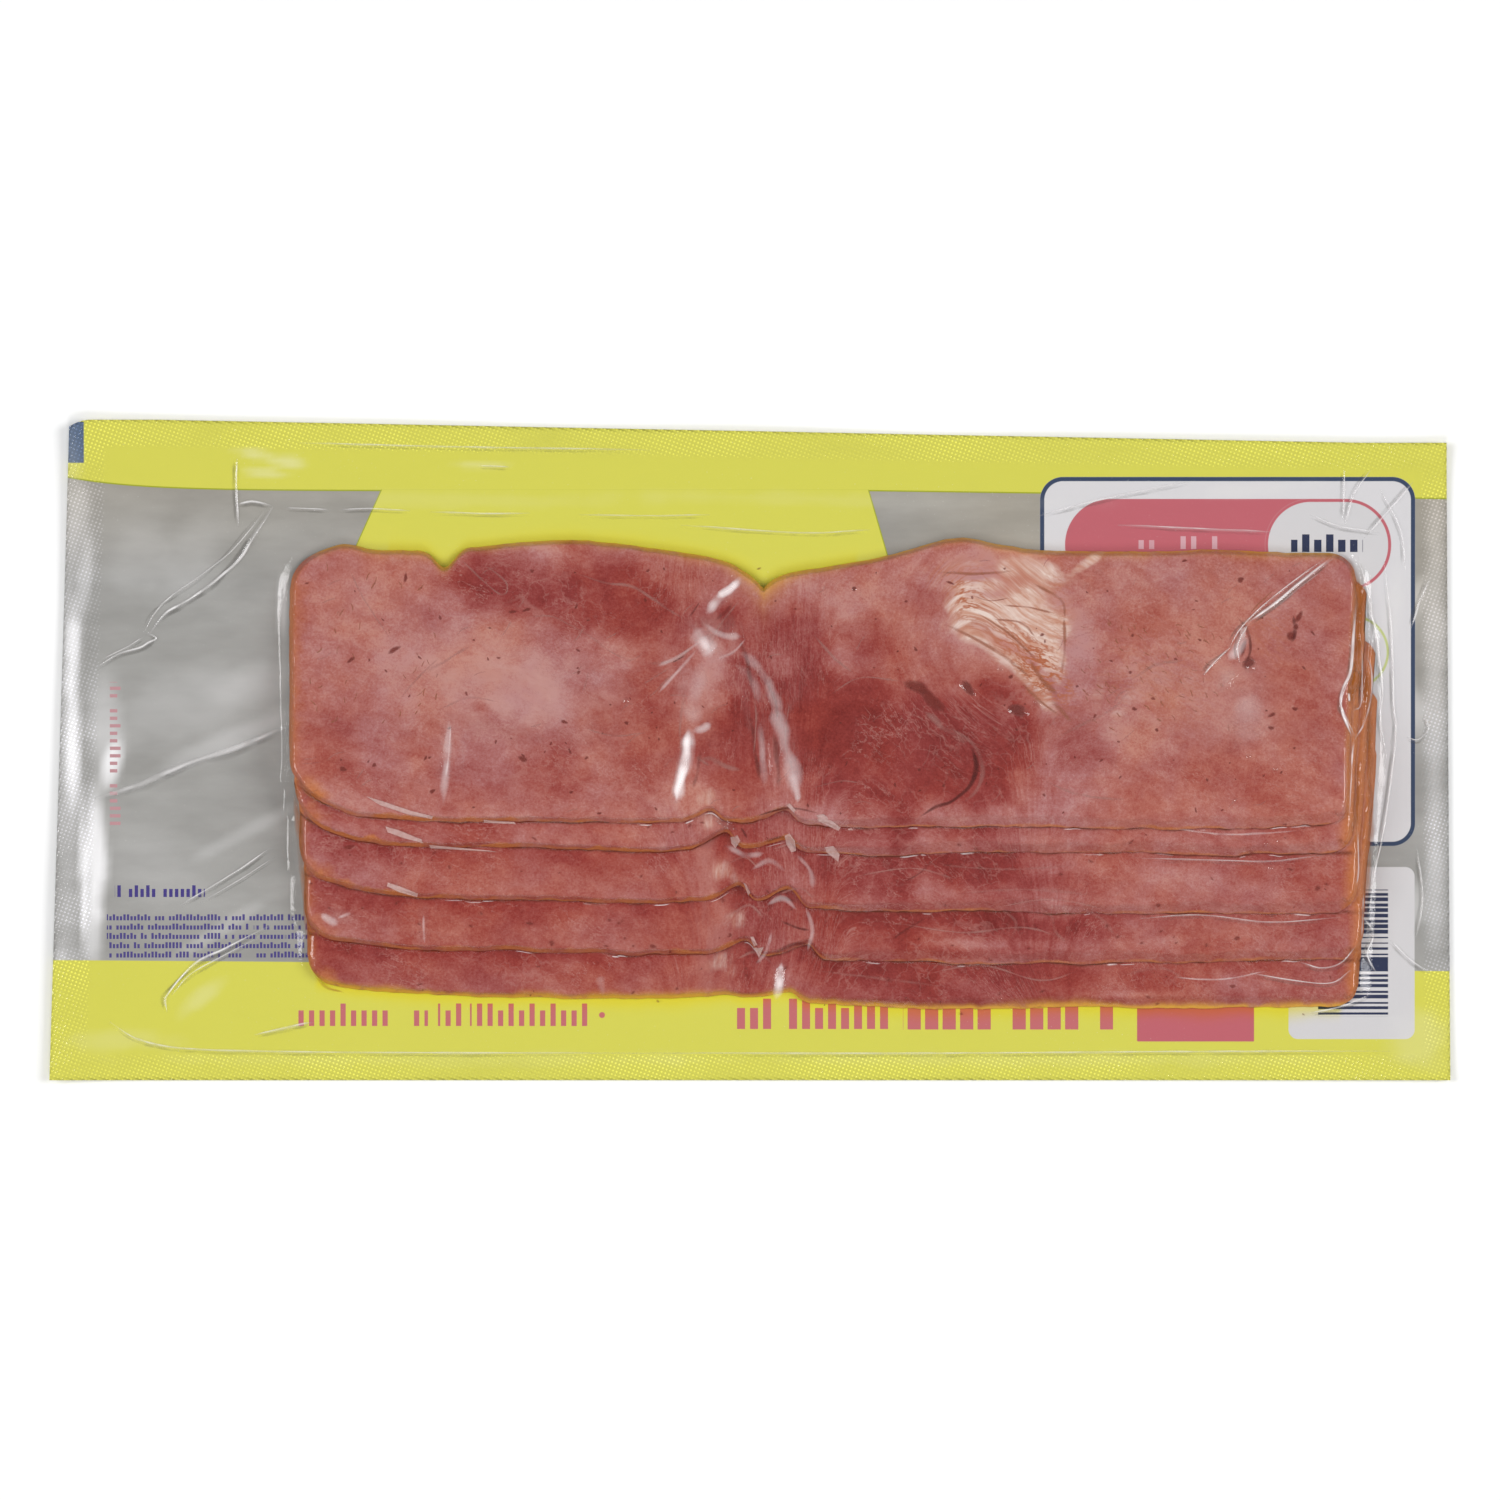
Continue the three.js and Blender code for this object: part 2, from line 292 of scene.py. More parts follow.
def meat_relief(x, y):
    """Unevenness of a cut face: soft swells, and the furrows of the fold."""
    swell = 0.16 * clouds(x, y, 19, 121, 3) + 0.05 * clouds(x, y, 3.5, 125, 2)
    furrows = 0.3 * clouds(x * 2.2, y * 0.35, 6, 131, 3) * bump(x, FOLD_AT, 12)
    return swell + furrows


# Soft ridges of the clear film over the row: start, end, half-width and height.
RIDGES = [
    ((-12.4, 3.8), (-15.2, -10.2), 0.9, 0.28), ((-13.6, 18.0), (-12.6, 5.0), 1.0, 0.16),
    ((2.4, 6.0), (2.8, -8.0), 0.6, 0.16), ((6.6, 6.0), (9.8, -10.4), 1.2, 0.14),
    ((4.6, 2.0), (4.8, -9.0), 0.5, 0.1), ((-8.0, 28.0), (-1.6, 33.8), 0.9, 0.45),
    ((-12.6, 26.0), (-7.4, 20.6), 0.5, 0.3), ((-9.6, 26.0), (-5.2, 18.0), 0.5, 0.3),
    ((-11.4, 21.0), (-3.6, 25.0), 0.8, 0.16), ((6.1, -43.0), (5.8, -49.0), 0.8, 0.5),
    ((-60, 6.0), (-60.9, -6.4), 1.0, 0.32), ((-56.8, 3.0), (-57.6, -5.0), 0.6, 0.14),
    ((93.6, 12.0), (96.4, 16.0), 1.2, 0.5), ((96.5, 2.0), (101.0, 12.0), 3.0, 0.25),
    ((-84.4, -32.5), (-79.0, -33.8), 0.9, 0.35), ((-64.8, -31.0), (-65.8, -39.0), 0.7, 0.16),
    ((-15.0, 13.0), (-13.0, 12.0), 1.2, 0.2), ((-2.0, 15.0), (0.6, 2.0), 0.7, 0.1),
    ((10.0, 12.0), (4.0, 2.0), 0.6, 0.12),
]


def along_segment(x, y, start, end):
    """Distance to a straight stretch, and the share of its length at the nearest point."""
    (x0, y0), (x1, y1) = start, end
    share = np.clip(((x - x0) * (x1 - x0) + (y - y0) * (y1 - y0)) / ((x1 - x0) ** 2 + (y1 - y0) ** 2), 0, 1)
    return np.hypot(x - x0 - share * (x1 - x0), y - y0 - share * (y1 - y0)), share


def film_ridges(x, y):
    """Sum of the ridges, each a bell across its line that fades towards both ends."""
    total = np.zeros_like(x)
    for start, end, half_width, height in RIDGES:
        distance, share = along_segment(x, y, start, end)
        total += height * np.exp(-((distance / half_width) ** 2)) * (0.35 + 0.65 * np.sin(np.pi * share))
    return total


def film_top(x, y):
    """Outer face of the clear film: over the row it follows the stack, and beside it lies on the
    backing."""
    stack = sum(film_share(k, x, y) for k in range(LAST + 1)) * THICKNESS
    stack = stack * (1 - FOLD_SINK * bump(x, FOLD_AT, FOLD_REACH))
    on_food = smooth(stack / THICKNESS)
    loose = (1 - on_food) * (slack(x, y) + margin_lift(x, y) + BACKING_THICKNESS - BASE)
    over = on_food * (FILM_GAP + film_ridges(x, y) + meat_relief_over(x, y))
    return BASE + stack + np.where(stack > 0.01, np.maximum(loose, -0.1), loose) + over


def meat_relief_over(x, y):
    """Relief of the rasher that lies on top at each place, which the film over it follows."""
    relief = meat_relief(x, y)
    for k in range(1, LAST + 1):
        own = meat_relief(x, y + RASHERS[0]["front"] - RASHERS[k]["front"])
        relief = np.where(y < front_edge(k - 1, x), own, relief)
    return relief


def cross(column_lines, row_lines):
    """Points where lines x(y) and y(x) cross, found by going from one to the other a few times."""
    columns, rows = len(column_lines), len(row_lines)
    y = np.tile(np.array([line(np.zeros(1))[0] for line in row_lines]), (columns, 1))
    x = np.zeros((columns, rows))
    for _ in range(4):
        x = np.stack([line(y[i]) for i, line in enumerate(column_lines)])
        y = np.stack([line(x[:, j]) for j, line in enumerate(row_lines)], axis=1)
    return x, y


def between(low_line, high_line, share):
    """Line that lies the given share of the way from one line to another."""
    return lambda t: low_line(t) + share * (high_line(t) - low_line(t))


def beside(line, offset):
    """Line moved sideways by an offset."""
    return lambda t: line(t) + offset


def make_piece(name, points, faces, attributes=None, shade=True):
    """Mesh from points in millimetres and faces, with one value of each attribute a point."""
    mesh = bpy.data.meshes.new(name)
    mesh.from_pydata((np.asarray(points) * MM).tolist(), [], [list(map(int, f)) for f in faces])
    mesh.update()
    for key, values in (attributes or {}).items():
        values = np.asarray(values, dtype=np.float32)
        is_vector = values.ndim > 1 and values.shape[-1] == 3
        kind, field = ("FLOAT_VECTOR", "vector") if is_vector else ("FLOAT", "value")
        mesh.attributes.new(key, kind, "POINT").data.foreach_set(field, values.ravel())
    if shade:
        mesh.shade_smooth()
    piece = bpy.data.objects.new(name, mesh)
    bpy.context.collection.objects.link(piece)
    return piece


def grid_faces(columns, rows, first=0):
    """Quads of a grid whose points run row by row within each column, facing up."""
    i, j = np.meshgrid(np.arange(columns - 1), np.arange(rows - 1), indexing="ij")
    corner = (first + i * rows + j).ravel()
    return np.stack([corner, corner + rows, corner + rows + 1, corner + 1], axis=1)


def slab(x, y, top, under, under_rows):
    """Closed shell over a grid: the upper face, a lower face with every column but few rows, and the
    rim."""
    columns, rows = x.shape
    upper = np.stack([x, y, top], axis=-1).reshape(-1, 3)
    keep = np.array(under_rows)
    lower = np.stack([x[:, keep], y[:, keep], under[:, keep]], axis=-1).reshape(-1, 3)
    count, start = len(keep), columns * rows
    faces = grid_faces(columns, rows).tolist()
    faces += grid_faces(columns, count, start)[:, ::-1].tolist()
    for i in range(columns - 1):
        faces.append([i * rows, start + i * count, start + (i + 1) * count, (i + 1) * rows])
        a, b = i * rows + rows - 1, (i + 1) * rows + rows - 1
        faces.append([a, b, start + (i + 2) * count - 1, start + (i + 1) * count - 1])
    for n in range(count - 1):
        low, high = keep[n], keep[n + 1]
        left = list(range(low, high + 1))
        faces.append(left + [start + n + 1, start + n])
        right_start = (columns - 1) * rows
        right = [right_start + r for r in range(high, low - 1, -1)]
        faces.append(right + [start + (columns - 1) * count + n, start + (columns - 1) * count + n + 1])
    return np.concatenate([upper, lower]), faces


# Nodes of the materials.
def add(tree, kind, *inputs, out=0, **settings):
    """Adds a node, sets its choices and its inputs in order, and gives back one of its outputs."""
    made = tree.nodes.new(kind)
    for key, value in settings.items():
        setattr(made, key, value)
    for place, value in enumerate(inputs):
        if isinstance(value, bpy.types.NodeSocket):
            tree.links.new(value, made.inputs[place])
        elif value is not None:
            made.inputs[place].default_value = value
    return made.outputs[out]


def maths(tree, operation, *inputs):
    """One operation of the Math node."""
    return add(tree, "ShaderNodeMath", *inputs, operation=operation)


def product(tree, first, *factors):
    """Product of several values."""
    total = first
    for factor in factors:
        total = maths(tree, "MULTIPLY", total, factor)
    return total


def within(tree, value, low, high):
    """1 where the value lies between two limits, and 0 elsewhere."""
    return product(tree, maths(tree, "GREATER_THAN", value, low), maths(tree, "LESS_THAN", value, high))


def vectors(tree, operation, *inputs, out=0):
    """One operation of the Vector Math node."""
    return add(tree, "ShaderNodeVectorMath", *inputs, operation=operation, out=out)


def over(tree, mask, below, above):
    """Colour `above` laid on colour `below` where the mask is 1."""
    made = tree.nodes.new("ShaderNodeMix")
    made.data_type = "RGBA"
    for socket, value in ((made.inputs[0], mask), (made.inputs[6], below), (made.inputs[7], above)):
        if isinstance(value, bpy.types.NodeSocket):
            tree.links.new(value, socket)
        else:
            socket.default_value = (*value, 1) if isinstance(value, tuple) else value
    return made.outputs[2]


def tint(tree, mask, colour, tone):
    """Colour multiplied by a tone where the mask is 1."""
    return vectors(tree, "MULTIPLY", colour, over(tree, mask, (1.0, 1.0, 1.0), tone))


def step(tree, value, start, end):
    """0 up to start, 1 from end, and even between."""
    return add(tree, "ShaderNodeMapRange", value, start, end, 0.0, 1.0)


def attribute(tree, name):
    """A number that the mesh carries at each point."""
    return add(tree, "ShaderNodeAttribute", attribute_name=name, out=2)


def new_material(name):
    """Empty material and its node tree."""
    material = bpy.data.materials.new(name)
    material.use_nodes = True
    tree = material.node_tree
    tree.nodes.clear()
    return material, tree


def finish_material(tree, shader):
    """Leads the last shader to the output."""
    output = tree.nodes.new("ShaderNodeOutputMaterial")
    tree.links.new(shader, output.inputs["Surface"])


def principled(tree, colour, roughness, normal=None, **sockets):
    """Principled shader. Socket names are given with underscores for spaces."""
    shader = tree.nodes.new("ShaderNodeBsdfPrincipled")
    tree.links.new(colour, shader.inputs["Base Color"])
    if isinstance(roughness, bpy.types.NodeSocket):
        tree.links.new(roughness, shader.inputs["Roughness"])
    else:
        shader.inputs["Roughness"].default_value = roughness
    if normal is not None:
        tree.links.new(normal, shader.inputs["Normal"])
    for key, value in sockets.items():
        shader.inputs[key.replace("_", " ")].default_value = value
    return shader.outputs[0]


def bump_node(tree, height, distance, strength=1.0, normal=None):
    """Fine relief from a height, laid on another relief if one is given."""
    made = tree.nodes.new("ShaderNodeBump")
    made.inputs["Strength"].default_value = strength
    made.inputs["Distance"].default_value = distance
    tree.links.new(height, made.inputs["Height"])
    if normal is not None:
        tree.links.new(normal, made.inputs["Normal"])
    return made.outputs[0]


def millimetres(tree):
    """Place on the pack in millimetres, from the piece's own coordinates."""
    place = add(tree, "ShaderNodeTexCoord", out=3)
    return vectors(tree, "MULTIPLY", place, (1 / MM, 1 / MM, 1 / MM))


def flat_place(tree):
    """Place on the pack as seen from above: x, y, and both with a height of nothing."""
    split = tree.nodes.new("ShaderNodeSeparateXYZ")
    tree.links.new(millimetres(tree), split.inputs[0])
    x, y = split.outputs[0], split.outputs[1]
    return x, y, add(tree, "ShaderNodeCombineXYZ", x, y, 0.0)


def noise(tree, place, scale, detail=3.0, roughness=0.5, stretch=(1, 1, 1), turn=0.0):
    """Noise of about one wave per 1/scale millimetres, stretched and turned."""
    mapped = add(tree, "ShaderNodeMapping", place, None, (0, 0, turn), stretch)
    made = tree.nodes.new("ShaderNodeTexNoise")
    tree.links.new(mapped, made.inputs["Vector"])
    made.inputs["Scale"].default_value = scale
    made.inputs["Detail"].default_value = detail
    made.inputs["Roughness"].default_value = roughness
    return made.outputs[0]


def cells(tree, place, scale, feature):
    """Voronoi cells: a tone of each cell, or nothing for the edges, and the distance of the feature."""
    made = tree.nodes.new("ShaderNodeTexVoronoi")
    made.feature = feature
    tree.links.new(place, made.inputs["Vector"])
    made.inputs["Scale"].default_value = scale
    if feature == "F1":
        tone = vectors(tree, "DOT_PRODUCT", made.outputs["Color"], (0.5, 0.5, 0), out=1)
        return tone, made.outputs["Distance"]
    return None, made.outputs["Distance"]


# Colours of the print, seen from its inner side.
YELLOW = (0.64, 0.62, 0.085)
YELLOW_LINE = (0.33, 0.36, 0.012)
WHITE_INK = (0.62, 0.605, 0.615)
NAVY = (0.035, 0.055, 0.11)
NAVY_BARS = (0.022, 0.03, 0.075)
ROSE = (0.5, 0.118, 0.145)
ROSE_ON_YELLOW = (0.52, 0.14, 0.15)
PALE_ROSE = (0.5, 0.27, 0.29)
SMALL_PRINT = (0.055, 0.04, 0.21)
LIME = (0.5, 0.56, 0.2)
PANEL_WHITE = (0.66, 0.645, 0.66)
PILL_WORDS = (0.62, 0.36, 0.4)
TAB_NAVY = (0.07, 0.115, 0.2)
SILVER_DARK, SILVER_PALE = (0.285, 0.279, 0.264), (0.39, 0.383, 0.368)
SILVER_SHEEN = (0.95, 0.94, 0.95)
WARM_CAST, PAINTED_HALO_CAST, WELD_GLINT_CAST = (0.98, 0.9, 0.77), (1.04, 0.97, 0.3), (1.5, 1.5, 1.6)
SPECK, GLEAM = (0.85, 0.84, 0.8), (0.9, 0.89, 0.8)
PRINT_BLUR = 0.06

# Parts of the print: centre, half-length and half-width, and for the corners and lines a radius and a width.
TAB = ((-134.9, 61.5), (1.75, 4.1))
PANEL = ((95.5, 17.7), (37.5, 36.9))
PANEL_RADIUS, PANEL_LINE = 4.6, 0.85
PILL = ((95.6, 41.0), (32.6, 9.2))
OVAL = ((115.6, 41.0), (12.6, 9.2))
PILL_RADIUS, OVAL_LINE = 9.1, 0.6
RING = ((120.4, 19.6), (7.4, 7.4))
RING_LINE = 0.5
LABEL = ((120.3, -40.6), (12.6, 17.2))
LABEL_RADIUS = 1.9
BAR_FIELD = ((120.6, -40.6), (7.0, 12.7))
BAR_PITCH, BROAD_BAR_PITCH = 1.08, 2.3
ROSE_BLOCK = ((89.1, -52.6), (11.7, 5.7))
DOT = ((-29.6, -53.0), (0.6, 0.6))
SHARP = 0.1
HIGH_BAND, LOW_BAND = 52.0, -43.1
WELD_PITCH = 1.08
WELD_TURN = (0.9, 0.42)

# Rows of strokes where the print has words: left, right, bottom, top, pitch, seed, share filled and colour.
WORDS = [
    (108.2, 122.6, 39.6, 43.2, 2.4, 3, 0.62, NAVY_BARS),
    (77, 94, 40.2, 42.8, 2.1, 5, 0.5, PILL_WORDS),
    (30.6, 72.6, -55.9, -49.6, 3.5, 11, 0.76, ROSE_ON_YELLOW),
    (-3.4, 28.0, -55.8, -49.6, 2.6, 12, 0.62, ROSE_ON_YELLOW),
    (-56.0, -32.0, -55.2, -50.6, 2.1, 13, 0.5, ROSE_ON_YELLOW),
    (-62.4, -57.6, -55.2, -50.6, 2.1, 14, 0.5, ROSE_ON_YELLOW),
    (-90.4, -64.4, -55.2, -50.6, 2.1, 15, 0.5, ROSE_ON_YELLOW),
    (-127.0, -109.0, -29.4, -27.0, 1.15, 23, 0.6, SMALL_PRINT),
]


def box_mask(tree, place, centre, half, radius=0.0):
    """1 in a rounded box: the length of the positive part of |p - c| - (h - r) is under r."""
    offset = vectors(tree, "SUBTRACT", place, (*centre, 0))
    folded = vectors(tree, "ABSOLUTE", offset)
    beyond = vectors(tree, "SUBTRACT", folded, (half[0] - radius, half[1] - radius, 1000))
    positive = vectors(tree, "MAXIMUM", beyond, (0, 0, 0))
    length = vectors(tree, "LENGTH", positive, out=1)
    return step(tree, length, radius + PRINT_BLUR, radius - PRINT_BLUR)


def outline_mask(tree, place, centre, half, radius, line):
    """Line of the given width just inside a rounded box."""
    outer = box_mask(tree, place, centre, half, radius)
    inner = box_mask(tree, place, centre, (half[0] - line, half[1] - line), radius - line)
    return maths(tree, "SUBTRACT", outer, inner)


def strokes_mask(tree, x, y, left, right, bottom, top, pitch, seed, line_pitch=None, fill=0.62):
    """Row of short upright strokes in words, some taller than others: seeded noise picks gaps and
    heights. With a line pitch, rows are stacked down the box."""
    row_y = maths(tree, "SUBTRACT", y, bottom)
    if line_pitch:
        line = maths(tree, "FLOOR", maths(tree, "DIVIDE", row_y, line_pitch))
        row_y = maths(tree, "SUBTRACT", row_y, maths(tree, "MULTIPLY", line, line_pitch))
        height = line_pitch * 0.66
    else:
        line = maths(tree, "MULTIPLY", x, 0.0)
        height = top - bottom
    across = maths(tree, "DIVIDE", x, pitch)
    cell = maths(tree, "FLOOR", across)
    part = maths(tree, "FRACT", across)
    spot = add(tree, "ShaderNodeCombineXYZ", cell, line, float(seed))
    chance = add(tree, "ShaderNodeTexWhiteNoise", spot, out=0)
    tall = step(tree, chance, 0.70, 0.72)
    reach = maths(tree, "MULTIPLY_ADD", tall, 0.3 * height, 0.68 * height)
    gap = step(tree, chance, 0.13, 0.15)
    stroke = maths(tree, "LESS_THAN", part, fill)
    low_enough = maths(tree, "LESS_THAN", row_y, reach)
    above = maths(tree, "GREATER_THAN", row_y, 0.0)
    inside = product(tree, within(tree, x, left, right), within(tree, y, bottom, top))
    return product(tree, stroke, gap, low_enough, above, inside)


def print_material():
    """Backing film: silver grey with lemon bands and a lemon field behind the row, white panels with rose
    pills, a striped label, and rows of plain strokes where small print would be."""
    material, tree = new_material("printed_backing")
    x, y, flat = flat_place(tree)

    mottle = noise(tree, flat, 0.07, 4, 0.55, (0.5, 1.5, 1), -0.42)
    silver = over(tree, step(tree, mottle, 0.3, 0.7), SILVER_DARK, SILVER_PALE)
    colour = over(tree, attribute(tree, "sheen"), silver, SILVER_SHEEN)
    right_warm = product(tree, step(tree, x, 10, 50), step(tree, y, 0, 60))
    back_warm = product(tree, step(tree, y, 34, 52), 0.5)
    colour = tint(tree, maths(tree, "MAXIMUM", right_warm, back_warm), colour, WARM_CAST)

    low = maths(tree, "MULTIPLY_ADD", x, 0.008, y)
    colour = over(tree, step(tree, low, LOW_BAND + 0.05, LOW_BAND - 0.05), colour, YELLOW)
    decay = maths(tree, "EXPONENT", maths(tree, "DIVIDE", maths(tree, "ADD", x, 136.0), -14.0))
    rise = maths(tree, "MULTIPLY", decay, -2.6)
    sag = maths(tree, "MULTIPLY", maths(tree, "MAXIMUM", maths(tree, "SUBTRACT", x, 23.6), 0.0), 0.0138)
    high = maths(tree, "ADD", maths(tree, "ADD", y, rise), sag)
    below_band = maths(tree, "SUBTRACT", HIGH_BAND, high)
    colour = over(tree, step(tree, below_band, 0.35, 0.2), colour, YELLOW_LINE)
    colour = over(tree, step(tree, below_band, 0.05, -0.05), colour, YELLOW)
    left_side = maths(tree, "MULTIPLY_ADD", below_band, 0.45, maths(tree, "ADD", x, 73.6))
    right_side = maths(tree, "MULTIPLY_ADD", below_band, 0.29, maths(tree, "SUBTRACT", 23.6, x))
    field = maths(tree, "MINIMUM", left_side, right_side)
    under_band = product(tree, step(tree, below_band, -0.1, 0.0), step(tree, y, 20, 21))
    colour = over(tree, product(tree, step(tree, field, -0.3, -0.15), under_band), colour, YELLOW_LINE)
    colour = over(tree, product(tree, step(tree, field, -0.05, 0.05), under_band), colour, YELLOW)

    colour = over(tree, box_mask(tree, flat, *TAB, SHARP), colour, TAB_NAVY)
    colour = over(tree, box_mask(tree, flat, *PANEL, PANEL_RADIUS), colour, PANEL_WHITE)
    colour = over(tree, outline_mask(tree, flat, *PANEL, PANEL_RADIUS, PANEL_LINE), colour, NAVY)
    colour = over(tree, box_mask(tree, flat, *PILL, PILL_RADIUS), colour, ROSE)
    colour = over(tree, box_mask(tree, flat, *OVAL, PILL_RADIUS), colour, WHITE_INK)
    colour = over(tree, outline_mask(tree, flat, *OVAL, PILL_RADIUS, OVAL_LINE), colour, ROSE)
    colour = over(tree, outline_mask(tree, flat, *RING, RING[1][0], RING_LINE), colour, LIME)
    colour = over(tree, box_mask(tree, flat, *LABEL, LABEL_RADIUS), colour, WHITE_INK)
    colour = over(tree, label_bars(tree, y, flat), colour, NAVY_BARS)
    colour = over(tree, box_mask(tree, flat, *ROSE_BLOCK, 2 * SHARP), colour, ROSE)
    colour = over(tree, box_mask(tree, flat, *DOT, DOT[1][0]), colour, ROSE_ON_YELLOW)
    for left, right, bottom, top, pitch, seed, fill, ink in WORDS:
        word = strokes_mask(tree, x, y, left, right, bottom, top, pitch, seed, fill=fill)
        colour = over(tree, word, colour, ink)
    upright = strokes_mask(tree, y, x, -15.2, 13.6, -128.0, -125.8, 1.5, 21, fill=0.45)
    colour = over(tree, upright, colour, PALE_ROSE)
    small = strokes_mask(tree, x, y, -128.6, -86.0, -41.5, -32.2, 0.7, 25, line_pitch=1.86, fill=0.66)
    colour = over(tree, product(tree, small, 0.95), colour, SMALL_PRINT)

    # Painted refraction: the print just outside the row tinted a deeper yellow where the foot of the film
    # lies.
    colour = tint(tree, attribute(tree, "painted_halo"), colour, PAINTED_HALO_CAST)
    speck = step(tree, noise(tree, flat, 2.4, 2, 0.6), 0.68, 0.74)
    colour = over(tree, product(tree, speck, step(tree, mottle, 0.4, 0.6), 0.3), colour, SPECK)
    colour = over(tree, product(tree, attribute(tree, "shine"), 0.5), colour, GLEAM)
    weld = weld_pattern(tree, flat)
    # Weld diamonds lightened in colour: a painted glint on the pressed pattern, which also has a real bump.
    pressed_glint = product(tree, step(tree, weld, 0.35, 0.6), step(tree, mottle, 0.3, 0.6))
    colour = tint(tree, pressed_glint, colour, WELD_GLINT_CAST)
    normal = bump_node(tree, noise(tree, flat, 0.05, 2, 0.5, (1, 1.6, 1), 0.5), 0.004, 0.3)
    normal = bump_node(tree, weld, 0.0001, 0.8, normal)
    finish_material(tree, principled(tree, colour, 0.42, normal, Metallic=0.0, Specular_IOR_Level=0.15))
    return material


def label_bars(tree, y, flat):
    """Plain uneven bars across the label: a seeded width for each pitch, some broad ones, and some left
    out."""
    across = maths(tree, "DIVIDE", y, BAR_PITCH)
    part = maths(tree, "FRACT", across)
    spot = add(tree, "ShaderNodeCombineXYZ", maths(tree, "FLOOR", across), 0.0, 7.0)
    dark = add(tree, "ShaderNodeTexWhiteNoise", spot)
    thin = maths(tree, "LESS_THAN", part, maths(tree, "MULTIPLY_ADD", dark, 0.5, 0.26))
    broad = maths(tree, "FLOOR", maths(tree, "DIVIDE", y, BROAD_BAR_PITCH))
    chance = add(tree, "ShaderNodeTexWhiteNoise", add(tree, "ShaderNodeCombineXYZ", broad, 0.0, 9.0))
    bar = maths(tree, "MAXIMUM", thin, maths(tree, "GREATER_THAN", chance, 0.82))
    kept = maths(tree, "GREATER_THAN", maths(tree, "ADD", chance, part), 0.2)
    return product(tree, bar, kept, box_mask(tree, flat, *BAR_FIELD, SHARP))


def weld_pattern(tree, flat):
    """Pressed diamonds of the weld: two crossed sines, shown where the piece's weld attribute is 1."""
    along, across = WELD_TURN[0] * 2 * np.pi / WELD_PITCH, WELD_TURN[1] * 2 * np.pi / WELD_PITCH
    first = vectors(tree, "DOT_PRODUCT", flat, (along, across, 0), out=1)
    second = vectors(tree, "DOT_PRODUCT", flat, (-across, along, 0), out=1)
    return product(tree, maths(tree, "SINE", first), maths(tree, "SINE", second), attribute(tree, "weld"))


# Colours of the cured meat, from pale to dark lean, and of what lies in and on it.
MEAT_SHADES = [
    (0.0, (0.49, 0.235, 0.21)), (0.22, (0.41, 0.145, 0.126)), (0.45, (0.335, 0.081, 0.067)),
    (0.68, (0.265, 0.037, 0.031)), (1.0, (0.165, 0.014, 0.0115)),
]
ORANGE_CAST, ROSY_CAST = (1.05, 0.95, 0.82), (0.97, 0.98, 1.06)
FAT = (0.58, 0.31, 0.225)
PALE_FAT = (0.78, 0.625, 0.555)
MILK = (0.55, 0.30, 0.265)
RUST = (0.42, 0.125, 0.055)
SMOKED = (0.56, 0.2, 0.074)
DARK_SMOKED = (0.41, 0.11, 0.026)
HONEY = (0.74, 0.40, 0.05)
CELL_EDGE = (0.52, 0.26, 0.225)
CAPILLARY = (0.2, 0.028, 0.02)
# Dark line in the gap under each step: dark juice there, and painted contact shadow.
SEAM_SHADOW = (0.115, 0.022, 0.007)


def drawn_lines(tree, wave, level, width, *shares):
    """Thin lines where a noise crosses a level, 1 - |wave - level| / width, times the shares given."""
    off_level = maths(tree, "ABSOLUTE", maths(tree, "SUBTRACT", wave, level))
    return product(tree, step(tree, off_level, width, 0.0), *shares)


